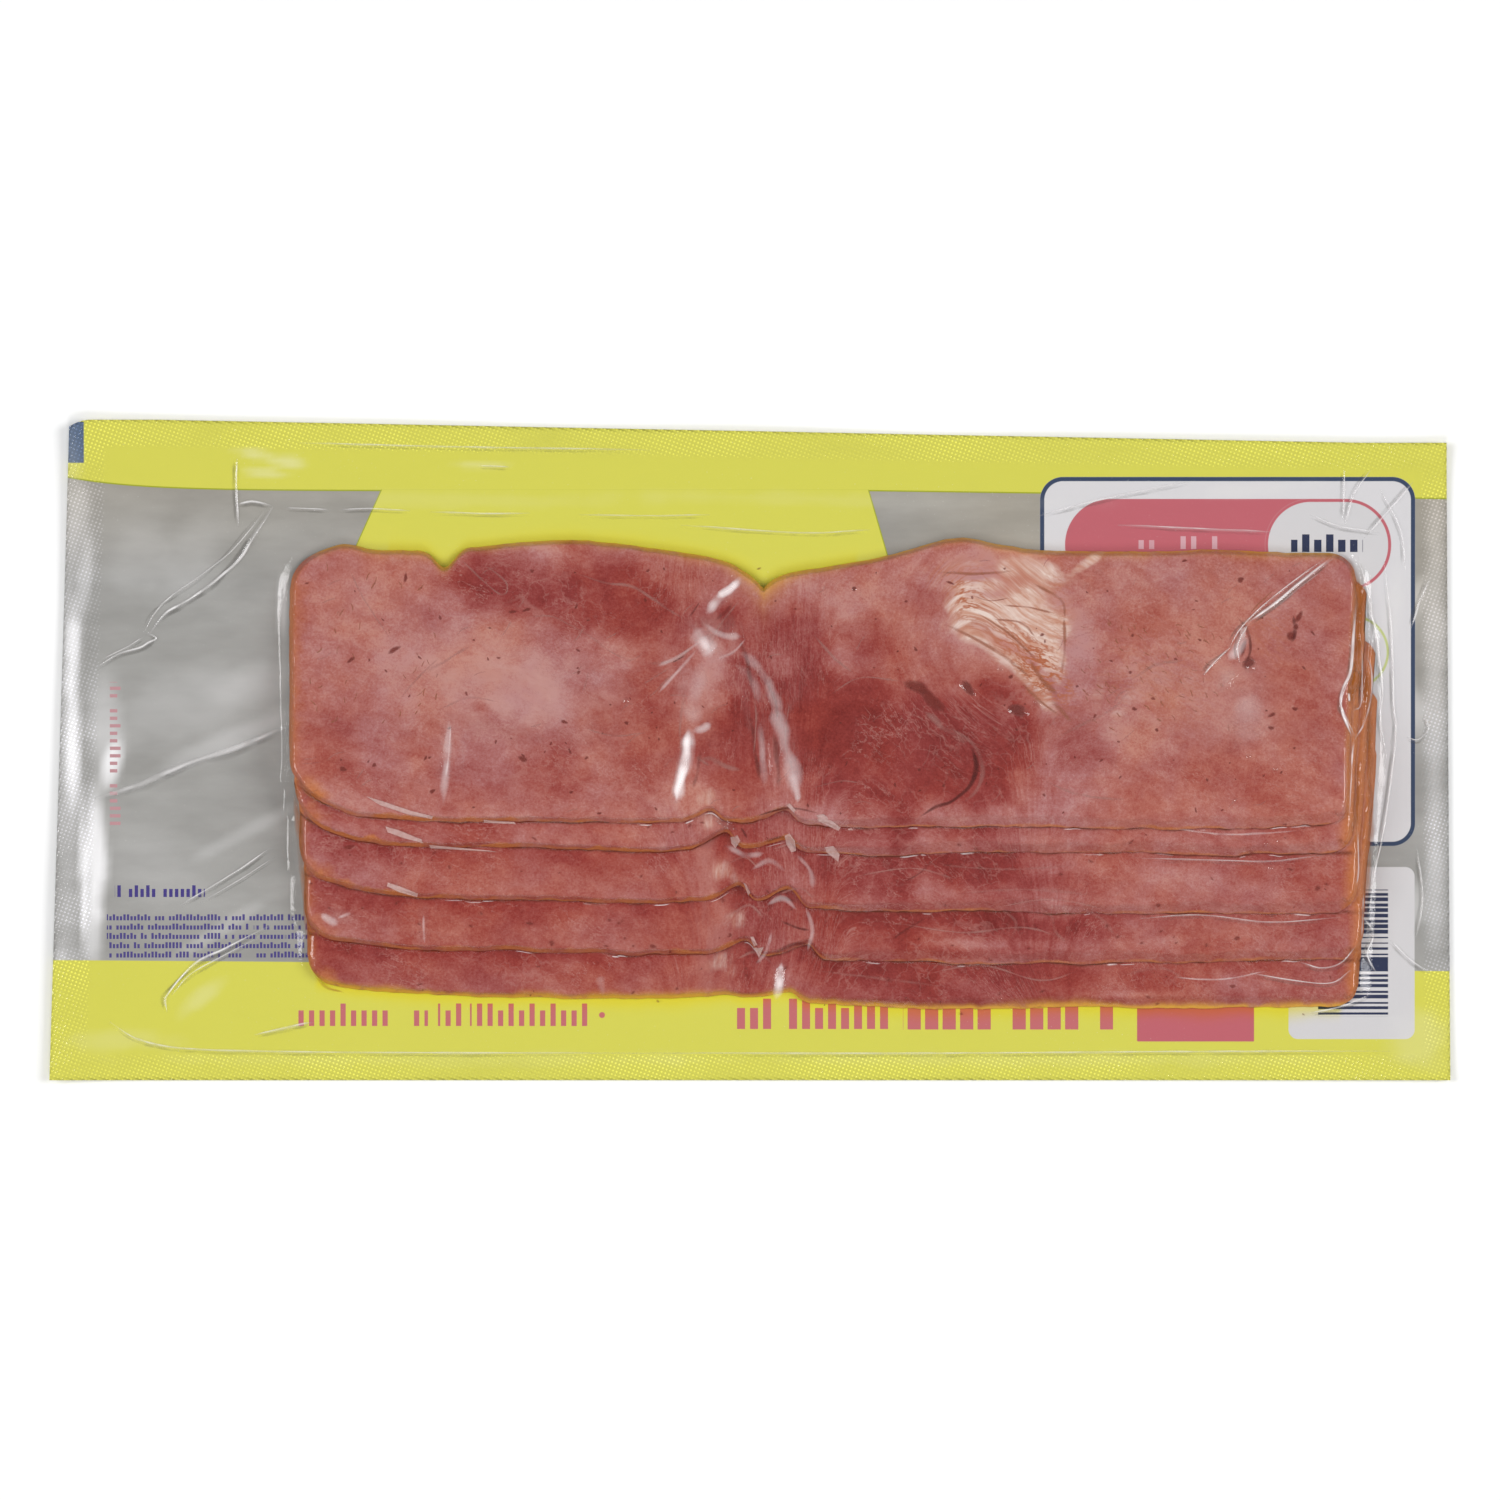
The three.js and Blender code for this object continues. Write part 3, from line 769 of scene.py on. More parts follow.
def meat_material(name):
    """Cured pork. Attributes carry the broad pattern (lean, fat, rust, smoke, veil, seam) and the way the
    grain runs. The dark line in the gap under each step is painted contact shadow with dark juice, and lean
    also holds the painted shade just below each step. Noise drawn out along the grain adds fibres, streaks of
    fat, veins and fine speckle."""
    material, tree = new_material(name)
    place = millimetres(tree)
    lean, fat, smoke = attribute(tree, "lean"), attribute(tree, "fat"), attribute(tree, "smoke")
    rust, veil, seam_shadow = attribute(tree, "rust"), attribute(tree, "veil"), attribute(tree, "seam_shadow")
    grain = add(tree, "ShaderNodeAttribute", attribute_name="grain", out=1)
    fibre = noise(tree, grain, 0.42, 4, 0.6, (0.3, 1.4, 1))
    coarse = noise(tree, grain, 0.2, 4, 0.6, (0.35, 1.1, 1))
    mottle = noise(tree, place, 0.32, 5, 0.66)
    fine = noise(tree, place, 1.9, 4, 0.65)
    grit = noise(tree, place, 4.2, 2, 0.6)
    swirl_x, swirl_y = noise(tree, place, 0.22, 4, 0.6), noise(tree, place, 0.2, 4, 0.6)
    swirl = add(tree, "ShaderNodeCombineXYZ", swirl_x, swirl_y, 0.0)
    swirled = vectors(tree, "MULTIPLY_ADD", swirl, (9, 9, 0), grain)
    cell_tone, _ = cells(tree, swirled, 0.24, "F1")
    _, to_edge = cells(tree, swirled, 0.24, "DISTANCE_TO_EDGE")
    depth = lean
    shares = ((fibre, 0.16), (coarse, 0.5), (mottle, 0.56), (fine, 0.6), (grit, 0.36), (cell_tone, 0.12))
    for wave, share in shares:
        depth = maths(tree, "ADD", depth, maths(tree, "MULTIPLY_ADD", wave, share, -0.5 * share))
    ramp = tree.nodes.new("ShaderNodeValToRGB")
    tree.links.new(depth, ramp.inputs[0])
    while len(ramp.color_ramp.elements) < len(MEAT_SHADES):
        ramp.color_ramp.elements.new(0.5)
    for element, (position, shade) in zip(ramp.color_ramp.elements, MEAT_SHADES):
        element.position = position
        element.color = (*shade, 1)
    hue = step(tree, noise(tree, place, 0.05, 4, 0.6), 0.38, 0.62)
    colour = vectors(tree, "MULTIPLY", ramp.outputs[0], over(tree, hue, ORANGE_CAST, ROSY_CAST))

    patchy = step(tree, noise(tree, place, 0.06, 3, 0.6), 0.46, 0.62)
    edges = product(tree, step(tree, to_edge, 0.05, 0.0), patchy, 0.26)
    colour = over(tree, edges, colour, CELL_EDGE)
    patchy = step(tree, noise(tree, place, 0.075, 3, 0.6), 0.46, 0.6)
    marbling = drawn_lines(tree, noise(tree, grain, 0.3, 5, 0.64, (0.55, 1.3, 1)), 0.52, 0.014, patchy, 0.55)
    colour = over(tree, marbling, colour, CELL_EDGE)
    patchy = step(tree, noise(tree, place, 0.09, 3, 0.6), 0.5, 0.62)
    vessels = drawn_lines(tree, noise(tree, grain, 0.42, 5, 0.62, (0.4, 1.3, 1)), 0.46, 0.012, patchy, 0.4)
    colour = over(tree, vessels, colour, CAPILLARY)
    curled = vectors(tree, "MULTIPLY_ADD", swirl, (5, 5, 0), grain)
    wisps = step(tree, noise(tree, curled, 0.2, 4, 0.62, (0.6, 1.3, 1)), 0.36, 0.6)
    colour = over(tree, product(tree, veil, wisps), colour, MILK)

    streak = maths(tree, "SUBTRACT", noise(tree, grain, 0.36, 5, 0.66, (0.5, 1.25, 1)), 0.5)
    fat_share = maths(tree, "MULTIPLY_ADD", streak, 2.6, maths(tree, "MULTIPLY", fat, 1.35))
    fat_share = product(tree, step(tree, fat_share, 0.0, 1.35), step(tree, fat, 0.02, 0.4))
    drawn = step(tree, noise(tree, grain, 0.55, 5, 0.62, (0.3, 1.5, 1)), 0.4, 0.62)
    colour = over(tree, fat_share, colour, over(tree, drawn, FAT, PALE_FAT))
    veins = drawn_lines(tree, noise(tree, grain, 0.5, 5, 0.66, (0.4, 1.4, 1)), 0.5, 0.065, rust, 0.85)
    colour = over(tree, veins, colour, RUST)
    smoke_share = step(tree, maths(tree, "MULTIPLY_ADD", mottle, 0.6, smoke), 0.42, 1.1)
    colour = over(tree, smoke_share, colour, over(tree, step(tree, fine, 0.3, 0.75), SMOKED, DARK_SMOKED))
    honey = product(tree, attribute(tree, "honey"), step(tree, mottle, 0.2, 0.5))
    colour = over(tree, honey, colour, HONEY)
    # Painted contact shadow, with dark juice, in the gap under each step.
    colour = over(tree, seam_shadow, colour, SEAM_SHADOW)
    relief = maths(tree, "MULTIPLY_ADD", fine, 0.4, maths(tree, "MULTIPLY", fibre, 0.8))
    normal = bump_node(tree, relief, 0.0002, 0.3)
    finish_material(tree, principled(tree, colour, 0.5, normal, Specular_IOR_Level=0.05))
    return material


FILM_INDEX, FILM_ROUGHNESS, MOST_GLOSS = 1.6, 0.07, 0.06
FILM_MILK = (0.9, 0.88, 0.88, 1)


def film_material():
    """Clear film: see-through with a sharp gloss by Fresnel, and a milky share where it stands off the
    food."""
    material, tree = new_material("clear_film")
    _, _, flat = flat_place(tree)
    normal = bump_node(tree, noise(tree, flat, 0.35, 3, 0.6), 0.0004, 0.25)
    normal = bump_node(tree, noise(tree, flat, 1.3, 2, 0.6), 0.0002, 0.35, normal)
    normal = bump_node(tree, weld_pattern(tree, flat), 0.00005, 0.6, normal)
    fresnel = tree.nodes.new("ShaderNodeFresnel")
    fresnel.inputs["IOR"].default_value = FILM_INDEX
    tree.links.new(normal, fresnel.inputs["Normal"])
    gloss = tree.nodes.new("ShaderNodeBsdfGlossy")
    gloss.inputs["Roughness"].default_value = FILM_ROUGHNESS
    tree.links.new(normal, gloss.inputs["Normal"])
    clear = tree.nodes.new("ShaderNodeBsdfTransparent")
    milky = tree.nodes.new("ShaderNodeBsdfDiffuse")
    milky.inputs["Color"].default_value = FILM_MILK
    body = add(tree, "ShaderNodeMixShader", attribute(tree, "haze"), clear.outputs[0], milky.outputs[0])
    share = maths(tree, "MINIMUM", fresnel.outputs[0], MOST_GLOSS)
    finish_material(tree, add(tree, "ShaderNodeMixShader", share, body, gloss.outputs[0]))
    return material


# Pattern of a slice, in the top rasher's place. Zones: centre x, y, half-length, half-width, turn in degrees
# and strength.
RED_ZONES = [
    (-34, 31, 24, 7.5, -9, 0.5), (-14, 25, 11, 7, -25, 0.34), (-22, 36, 16, 4, -8, 0.12),
    (-56, 33, 5, 5, 0, 0.16), (30, 3, 29, 13, -8, 0.68), (10, 22, 9, 7, -35, 0.48),
    (26, 20, 8, 6, -25, 0.34), (14, 6, 12, 10, 0, 0.5), (44, -6, 14, 7, -40, 0.3),
    (20, -10, 14, 4, -5, 0.3), (-1, 18, 5, 13, 10, 0.3), (66, 0, 12, 6, -35, 0.2),
    (-82, 0, 9, 9, 0, 0.2), (-24, 4, 14, 9, -20, 0.2), (-50, -6, 28, 5, 0, 0.16),
    (96, -6, 22, 6, -10, 0.12), (108, 10, 14, 20, 0, 0.1), (76, 22, 12, 12, 0, 0.08),
    (-1, 0, 10, 14, 0, 0.36), (36, 30, 6, 5, 0, 0.14), (-20, 13, 8, 6, -40, 0.22),
    (-66, 4, 8, 5, 20, 0.08), (50, 4, 8, 6, -50, 0.16),
]
PALE_ZONES = [
    (-52, 14, 20, 8, -16, 0.21), (-44, 10, 13, 6, -10, 0.14), (-77, 31, 12, 9, 0, 0.12),
    (-9, 10, 4, 8, 8, 0.12), (-7, 22, 5, 5, 30, 0.26), (98, 8, 13, 8, -30, 0.12),
    (100, 26, 16, 8, 0, 0.04), (44, 35, 16, 3.5, -3, 0.2), (24, 31, 9, 4, 20, 0.14),
    (-88, 22, 4, 16, 0, 0.1), (40, -12.5, 40, 2.2, -2, 0.14), (76, 6, 9, 9, 0, 0.1),
    (-7, -9, 4, 4, 0, 0.12), (66, 22, 5, 12, 0, 0.08), (52, 27, 20, 13, -25, 0.24),
    (80, 16, 8, 5, 40, 0.1),
]
MILKY_ZONES = [
    (-52, 13, 19, 9, -14, 0.42), (-47, 21, 6, 6, 0, 0.25), (-38, 10, 14, 7, -10, 0.24),
    (-10, 8, 3.4, 7, 8, 0.2), (-7, 22, 4.5, 4.5, 20, 0.4), (97, 13, 6, 5, -30, 0.3),
    (98, 4, 11, 8, 0, 0.16), (-78, 32, 12, 7, 0, 0.14), (7, 0, 3, 9, 6, 0.08),
]
FAT_ZONES = [
    (45.6, 28.4, 8.6, 2.5, -8, 0.9), (56.5, 27.2, 7.4, 4.8, -28, 1.1), (59, 20.8, 6.0, 2.8, -72, 1.0),
    (52.5, 24, 7, 3, -35, 0.8), (54.6, 36.2, 8, 2.6, -4, 0.9), (46, 32.8, 8, 2.0, 6, 0.7),
    (58, 32, 5, 4, -30, 0.5), (67.4, 37.4, 4.6, 1.2, 32, 0.7), (47, 21.4, 12, 2.1, -36, 0.7),
    (56.5, 13.2, 8, 1.8, -56, 0.62), (62, 33.6, 4, 1.8, 10, 0.4), (74, 8, 6, 1.6, 60, 0.26),
    (40, 24.4, 6, 2, -15, 0.25), (40, 31, 6, 4, 0, 0.15), (70, 13, 6, 1.5, 70, 0.22),
    (50, 30, 12, 7, -20, 0.16), (44, 37, 6, 1.2, 4, 0.22),
]
FOLD_FAT = [(-8.6, -9.4, 2.4, 1.9, 30, 0.36), (-6.4, -11.6, 1.6, 1.6, 0, 0.2)]
RUST_ZONES = [
    (50, 23, 16, 4.5, -42, 1.0), (59, 14, 9, 4, -58, 1.0), (50, 33, 13, 5, -8, 0.6),
    (62, 28, 3, 10, 0, 0.5), (82, 14, 14, 9, -25, 0.4), (104, 22, 4, 7, 20, 0.4),
]

# Darker and paler stretches of the three lowest strips on the right.
STRIP_DARK = [
    (46, -25, 9, 2.4, 0, 0.22), (63, -26.5, 10, 2.2, 0, 0.22), (22, -28, 8, 1.6, 0, 0.14),
    (30, -34, 12, 2.2, 0, 0.22), (55, -36, 13, 2.6, -5, 0.28), (69, -34.5, 6, 2.6, 0, 0.2),
    (28, -45, 14, 2.4, 0, 0.18), (60, -45.5, 12, 2.6, 0, 0.24), (84, -46, 8, 2.2, 0, 0.16),
]
STRIP_PALE = [
    (30, -24, 9, 1.4, 0, 0.22), (90, -25, 14, 3, 0, 0.14), (12, -23, 5, 2, 0, 0.14),
    (42, -38.8, 8, 1.0, 0, 0.24), (94, -35, 14, 3, 0, 0.14), (100, -46, 10, 2, 0, 0.16),
    (44, -42.6, 7, 0.9, 0, 0.24), (74, -48.8, 12, 0.9, 0, 0.2), (62, -31.4, 5, 1.0, -20, 0.2),
    (80, -38.4, 8, 1.2, 4, 0.2),
]


# How much redder each rasher is about the middle, and the knee over which the red levels off.
STRIP_RED = [0, 0.06, 0.12, 0.2, 0.22]
RED_KNEE, MOST_RED_SPAN = 0.46, 0.32


def blobs(x, y, table, rough, seed):
    """Sum of turned ellipses with uneven rims: each has its full strength in the middle and fades to 0 a
    little outside its rim."""
    ragged = rough * clouds(x, y, 6, seed, 4)
    total = np.zeros_like(x)
    for cx, cy, half_length, half_width, turn, strength in table:
        c, s = np.cos(np.radians(turn)), np.sin(np.radians(turn))
        u = ((x - cx) * c + (y - cy) * s) / half_length
        v = ((y - cy) * c - (x - cx) * s) / half_width
        total += strength * smooth(1.25 - 0.9 * np.hypot(u, v) + ragged)
    return total


def grain_way(k, x, y):
    """Place measured along and across the grain. It runs aslant on the left, upright in the fold, towards a
    point in front of the red zone there, and aslant again on the right, with noise that makes it swirl."""
    warp_x = x + 2.2 * clouds(x, y, 14, 131 + k, 3)
    warp_y = y + 2.2 * clouds(x, y, 14, 135 + k, 3)
    reach, angle = np.hypot(warp_x - 60, warp_y + 30), np.arctan2(warp_y + 30, warp_x - 60)
    in_fold, in_red = bump(x, FOLD_AT, 10), bump(x, 32, 26)
    on_right, on_left = smooth((x - 50) / 20), smooth((-8 - x) / 16)
    in_fat = 4 * bump(x, 52, 13) * bump(y, 25, 13)
    ways = [
        (in_fat, warp_x * 0.79 - warp_y * 0.62, warp_y * 0.79 + warp_x * 0.62),
        (in_fold, warp_y, warp_x), (in_red, reach, angle * 34),
        (on_right, warp_x * 0.86 - warp_y * 0.5, warp_y * 0.86 + warp_x * 0.5),
        (on_left, warp_x * 0.95 - warp_y * 0.3, warp_y * 0.95 + warp_x * 0.3),
    ]
    total = sum(share for share, _, _ in ways) + 1e-6
    along = sum(share * u for share, u, _ in ways) / total
    across = sum(share * v for share, _, v in ways) / total
    return np.stack([along + 40 * k, across, np.zeros_like(x)], axis=-1)


def meat_pattern(k, x, y):
    """Attributes of rasher k at a place of the pack. Every slice comes from one piece of meat, so the
    pattern is the top slice's, moved with the slice and changed a little from one to the next."""
    own_x = x + 1.5 * k * lattice_noise(x, y, 30, 141 + k)
    own_y = y + RASHERS[0]["front"] - RASHERS[k]["front"] - 0.5 * k
    red = blobs(own_x, own_y, RED_ZONES, 0.45, 151)
    pale = blobs(own_x, own_y, PALE_ZONES, 0.45, 161)
    lean = 0.21 if k == 0 else 0.27 + 0.03 * k
    lean = lean + red - 0.9 * pale + 0.15 * clouds(own_x + 31 * k, own_y, 13, 181, 5)
    if k > 1:
        lean += blobs(x, y, STRIP_DARK, 0.7, 361) - blobs(x, y, STRIP_PALE, 0.7, 371)
    lean += 0.03 * (k == LAST) + STRIP_RED[k] * bump(x, 33, 27) * (y < front_edge(k - 1, x) if k else 0)
    beyond = MOST_RED_SPAN * np.tanh((lean - RED_KNEE) / MOST_RED_SPAN)
    lean = np.where(lean > RED_KNEE, RED_KNEE + beyond, lean)
    fat = blobs(own_x - 0.8 * k, own_y, (FAT_ZONES if k == 0 else []) + FOLD_FAT, 0.5, 191)
    rust = blobs(own_x, own_y, RUST_ZONES, 0.4, 221)
    left_reach, right_reach = (1.6, 1.0) if k == 0 else (1.2, 2.6)
    to_left, to_right = np.clip(x - rasher_left(k, y), 0, None), np.clip(rasher_right(k, y) - x, 0, None)
    ends = np.maximum(np.exp(-to_left / left_reach), np.exp(-((to_right / right_reach) ** 2)))
    lean += 0.22 * (k == 0) * np.exp(-to_left / 2.5)
    front = np.clip(y - front_edge(k, x), 0, None)
    wide = np.where(x > 10, 0.42, np.where(x < -70, 0.85, 0.7))
    wide = wide * np.clip(1 + 1.1 * clouds(x, y * 0, 5, 231 + k, 4), 0.25, 2.2)
    strength = np.where(x > 10, 0.68, np.where(x > -45, 0.9, 1))
    strength = strength * np.clip(0.68 + 0.8 * clouds(x, y, 4, 233 + k, 4), 0.15, 1)
    front_rim = strength * smooth(1.6 - 1.1 * front / wide)
    honey = np.zeros_like(x)
    if k == 0:
        back_reach = 0.55 + 1.3 * bump(x, NOTCH_AT, 6) + 0.3 * clouds(x, y * 0, 7, 241, 3)
        honey = 0.9 * np.exp(-np.clip(back_edge(x) - y, 0, None) / np.clip(back_reach, 0.2, None))
    if k == LAST:
        honey = np.maximum(honey, 0.95 * np.exp(-(front / (0.8 + 0.5 * clouds(x, y * 0, 6, 243, 3))) ** 2))
        front_rim = 0.35 * front_rim
    patch = 0.65 * bump(x, -87, 4.4) * bump(y, front_edge(k, x) + 1.5, 2.5)
    patch = patch * (0.8 + clouds(x, y, 3, 235 + k, 3))
    smoke = np.clip(np.maximum.reduce([front_rim, ends, patch]), 0, 1)
    veil = blobs(own_x, own_y, MILKY_ZONES, 0.55, 271) if k == 0 else 0.25 * bump(x, -8, 4)
    # Dark line just under the rasher above: painted contact shadow of the step, with dark juice, coming and
    # going along it.
    seam_shadow = np.zeros_like(x)
    if k > 0:
        gap = front_edge(k - 1, x) - y
        comes_and_goes = smooth(0.62 + 1.3 * clouds(x, y * 0, 4.5, 281 + k, 4))
        seam_shadow = np.exp(-(((gap - 0.05) / (0.12 + 0.14 * comes_and_goes)) ** 2)) * comes_and_goes
        shadow = np.exp(-np.clip(gap, 0, None) / 2.4) * (0.75 + 0.7 * clouds(x, y, 9, 291 + k, 3))
        lean += 0.22 * shadow * np.where(x < 0, 1, 0.45) * (y < front_edge(k - 1, x))
    values = {"lean": lean, "fat": fat, "rust": rust, "smoke": smoke, "grain": grain_way(k, own_x, own_y)}
    return {**values, "veil": np.clip(veil, 0, 1), "seam_shadow": np.clip(seam_shadow, 0, 1), "honey": np.clip(honey, 0, 1)}


def spread(start, end, count):
    """Even steps from start to just before end."""
    return list(np.linspace(start, end, count, endpoint=False))


def make_rasher(k, material):
    """One rasher: a slab whose grid follows its own outline, fine where it shows and coarse where it is
    covered."""
    left = lambda y: rasher_left(k, y)
    right = lambda y: rasher_right(k, y)
    shares = spread(0, 0.03, 18) + spread(0.03, 0.45, 150) + spread(0.45, 0.62, 90) + spread(0.62, 0.97, 128)
    shares += spread(0.97, 1, 18) + [1.0]

    def rounding(x, edge_y, left_radius, right_radius):
        """How far a corner's arc pulls the edge in at x."""
        near_left = np.clip(1 - (x - left(edge_y)) / left_radius, 0, 1)
        near_right = np.clip(1 - (right(edge_y) - x) / right_radius, 0, 1)
        return left_radius * (1 - np.sqrt(1 - near_left**2)) + right_radius * (1 - np.sqrt(1 - near_right**2))

    def front(x):
        """Front edge with its corners rounded."""
        line = front_edge(k, x)
        return line + rounding(x, line, CORNER_RADIUS, CORNER_RADIUS)

    def back(x):
        """Back edge with its corners rounded."""
        line = rasher_back(k, x)
        radii = BACK_CORNERS.values() if k == 0 else (CORNER_RADIUS, CORNER_RADIUS)
        return line - rounding(x, line, *radii)

    if k == 0:
        rows = spread(0, 0.07, 20) + spread(0.07, 0.96, 112) + spread(0.96, 1, 12) + [1.0]
    else:
        rows = spread(0, 0.07, 20) + spread(0.07, 0.24, 26) + spread(0.24, 1, 14) + [1.0]
    columns = [between(left, right, share) for share in shares]
    x, y = cross(columns, [between(front, back, share) for share in rows])
    top = rasher_top(k, x, y)
    under = BASE + stack_under(k, x, y) - 0.02
    under = np.minimum(under, top - 0.3)
    under_rows = sorted({0, len(rows) - 1, *range(6, len(rows) - 6, max(4, len(rows) // 12))})
    points, faces = slab(x, y, top, under, under_rows)
    pattern = meat_pattern(k, points[:, 0], points[:, 1])
    piece = make_piece(f"rasher_{k + 1}", points, faces, pattern)
    piece.data.materials.append(material)
    return piece


def painted_row_halo(x, y):
    """1 on the backing just outside the row: painted refraction, where the foot of the film gathers the
    yellow of the print.
    """
    front_line, back_line = front_edge(LAST, x), back_edge(x)
    in_front = (x > -87) & (x < 118) & (y < front_line + 1)
    behind = (x > -72) & (x < 21) & (y > back_line - 1)
    front = np.where(in_front, np.abs(front_line - y), 99)
    back = np.where(behind, np.abs(y - back_line), 99)
    reach = 1.7 + 0.7 * clouds(x, y, 9, 351, 3)
    return np.maximum(np.exp(-((front / reach) ** 2)), 0.7 * np.exp(-((back / reach) ** 2)))


def make_backing(material):
    """Printed sheet: a grid over the outline, lifted at its edges, given its thickness by Solidify."""
    columns = [between(pack_left, pack_right, share) for share in np.linspace(0, 1, 290)]
    rows = [between(pack_front, pack_back, share) for share in np.linspace(0, 1, 138)]
    x, y = cross(columns, rows)
    z = 0.05 + BACKING_THICKNESS + margin_lift(x, y)
    points = np.stack([x, y, z], axis=-1).reshape(-1, 3)
    sheen, shine = blobs(x, y, SHEENS, 0.25, 331), blobs(x, y, SHINES, 0.5, 341)
    values = {"weld": weld_share(x, y), "painted_halo": painted_row_halo(x, y)}
    values |= {"sheen": np.clip(sheen, 0, 1), "shine": np.clip(shine, 0, 1)}
    piece = make_piece("backing_film", points, grid_faces(*x.shape), values)
    thick = piece.modifiers.new("thickness", "SOLIDIFY")
    thick.thickness = BACKING_THICKNESS * MM
    thick.offset = -1
    piece.data.materials.append(material)
    return piece


# Pale gleams on the yellow and the white print.
SHINES = [
    (-100, 59.4, 5, 1.4, -8, 0.5), (-93, 57.6, 4, 1.3, -10, 0.5), (-97, 55.4, 5, 1.0, -6, 0.4),
    (-54, 57, 6, 0.8, 0, 0.3), (-110, -50, 6, 2, 40, 0.3), (-60, 50, 40, 1.6, -1, 0.12),
    (20, 50, 50, 1.4, -1, 0.12), (96, -47, 7, 2, 5, 0.35), (134, -58, 6, 6, 0, 0.25),
    (-125, -58, 10, 2.4, 0, 0.2), (-136, 56, 3, 9, 0, 0.2), (-60, -62, 60, 1.4, 0, 0.1),
    (60, -62, 60, 1.4, 0, 0.12), (118, 30, 3, 8, -30, 0.3), (128, 26, 2, 12, -10, 0.2),
    (100, 52, 14, 1.6, 4, 0.25),
]

# Soft sheens of the silver: centre x, y, half-length, half-width, turn and strength.
SHEENS = [
    (-135.4, 0, 12, 1.7, 90, 0.8), (-135.4, 20, 9, 1.5, 88, 0.7), (-133.3, -24, 14, 0.8, 91, 0.6),
    (-130.8, -20.5, 12, 2.2, 91, 0.85), (-131.6, -35, 7, 2.2, 93, 0.5),
    (-127.8, -3.4, 4.6, 2.0, 78, 0.6), (-129, 5, 11, 3.8, 90, 0.3), (-112, 9, 19, 8, 12, 0.13),
    (-136.4, 0, 60, 2.6, 90, 0.2), (-133, 34, 9, 1.4, 84, 0.3), (-134, 48, 8, 2.4, 86, 0.25),
    (-119.6, -24, 10, 9, 0, 0.1), (-93.4, 29, 6, 1.1, 90, 0.35), (-104, 2, 16, 2.4, 24, 0.2),
    (-98, 14, 10, 4, 20, 0.12), (-112, 38, 6, 10, -30, 0.12), (-122, 40, 5, 9, -20, 0.12),
    (-100, -16, 12, 1.6, 28, 0.16), (-106, -36, 11, 1.5, 32, 0.16), (137, 14, 40, 2.2, 90, 0.3),
    (137, -26, 16, 2.2, 90, 0.2), (132.4, 8, 3, 6, 20, 0.3), (133, 30, 2, 6, -20, 0.3),
    (131.4, -31, 5, 3.4, 80, 0.3), (-137.8, -50, 12, 1.0, 90, 0.3),
]


def weld_share(x, y):
    """1 in the welded border and 0 inside it."""
    inward = np.minimum.reduce([
        x - pack_left(y) - WELD_WIDTH["left"], pack_right(y) - x - WELD_WIDTH["right"],
        y + PACK_WIDTH / 2 - WELD_WIDTH["bottom"], pack_back(x) - y - WELD_WIDTH["top"],
    ])
    return smooth(0.5 - inward)


def make_film(material):
    """Clear film: a grid whose rows follow the rashers' front edges, fine across each step and each end."""
    last_front = lambda x: front_edge(LAST, x)
    rows = [between(pack_front, beside(last_front, -3.4), share) for share in spread(0, 1, 13)]
    for k in range(LAST, -1, -1):
        line = lambda x, k=k: front_edge(k, x)
        start = -3.4 if k == LAST else -1.6
        rows += [beside(line, offset) for offset in spread(start, 3.2, 21)]
        if k > 0:
            above = beside(lambda x, k=k: front_edge(k - 1, x), -1.6)
            gap = 5 if k > 1 else 0
            rows += [between(beside(line, 3.2), above, share) for share in spread(0, 1, gap)]
    top_front = beside(lambda x: front_edge(0, x), 3.2)
    rows += [between(top_front, beside(back_edge, -1.2), share) for share in spread(0, 1, 62)]
    rows += [beside(back_edge, offset) for offset in spread(-1.2, 3.4, 18)]
    rows += [between(beside(back_edge, 3.4), pack_back, share) for share in np.linspace(0, 1, 20)]
    outer_left = lambda y: np.full_like(y, -98.0)
    outer_right = lambda y: rasher_right(LAST, y)
    fixed = lambda x: (lambda y: np.full_like(y, x))
    columns = [between(pack_left, outer_left, share) for share in spread(0, 1, 40)]
    columns += [fixed(x) for x in spread(-98, -88, 34) + spread(-88, -18, 84) + spread(-18, 14, 60)]
    columns += [fixed(x) for x in spread(14, 112, 106)]
    columns += [beside(outer_right, offset) for offset in spread(-9, 4, 46)]
    columns += [between(beside(outer_right, 4), pack_right, share) for share in np.linspace(0, 1, 12)]
    x, y = cross(columns, rows)
    z = film_top(x, y)
    haze = 0.003 + 0.2 * np.clip(film_ridges(x, y), 0, 1)
    points = np.stack([x, y, z], axis=-1).reshape(-1, 3)
    values = {"weld": weld_share(x, y), "haze": haze}
    piece = make_piece("clear_film", points, grid_faces(*x.shape), values)
    piece.data.materials.append(material)
    return piece


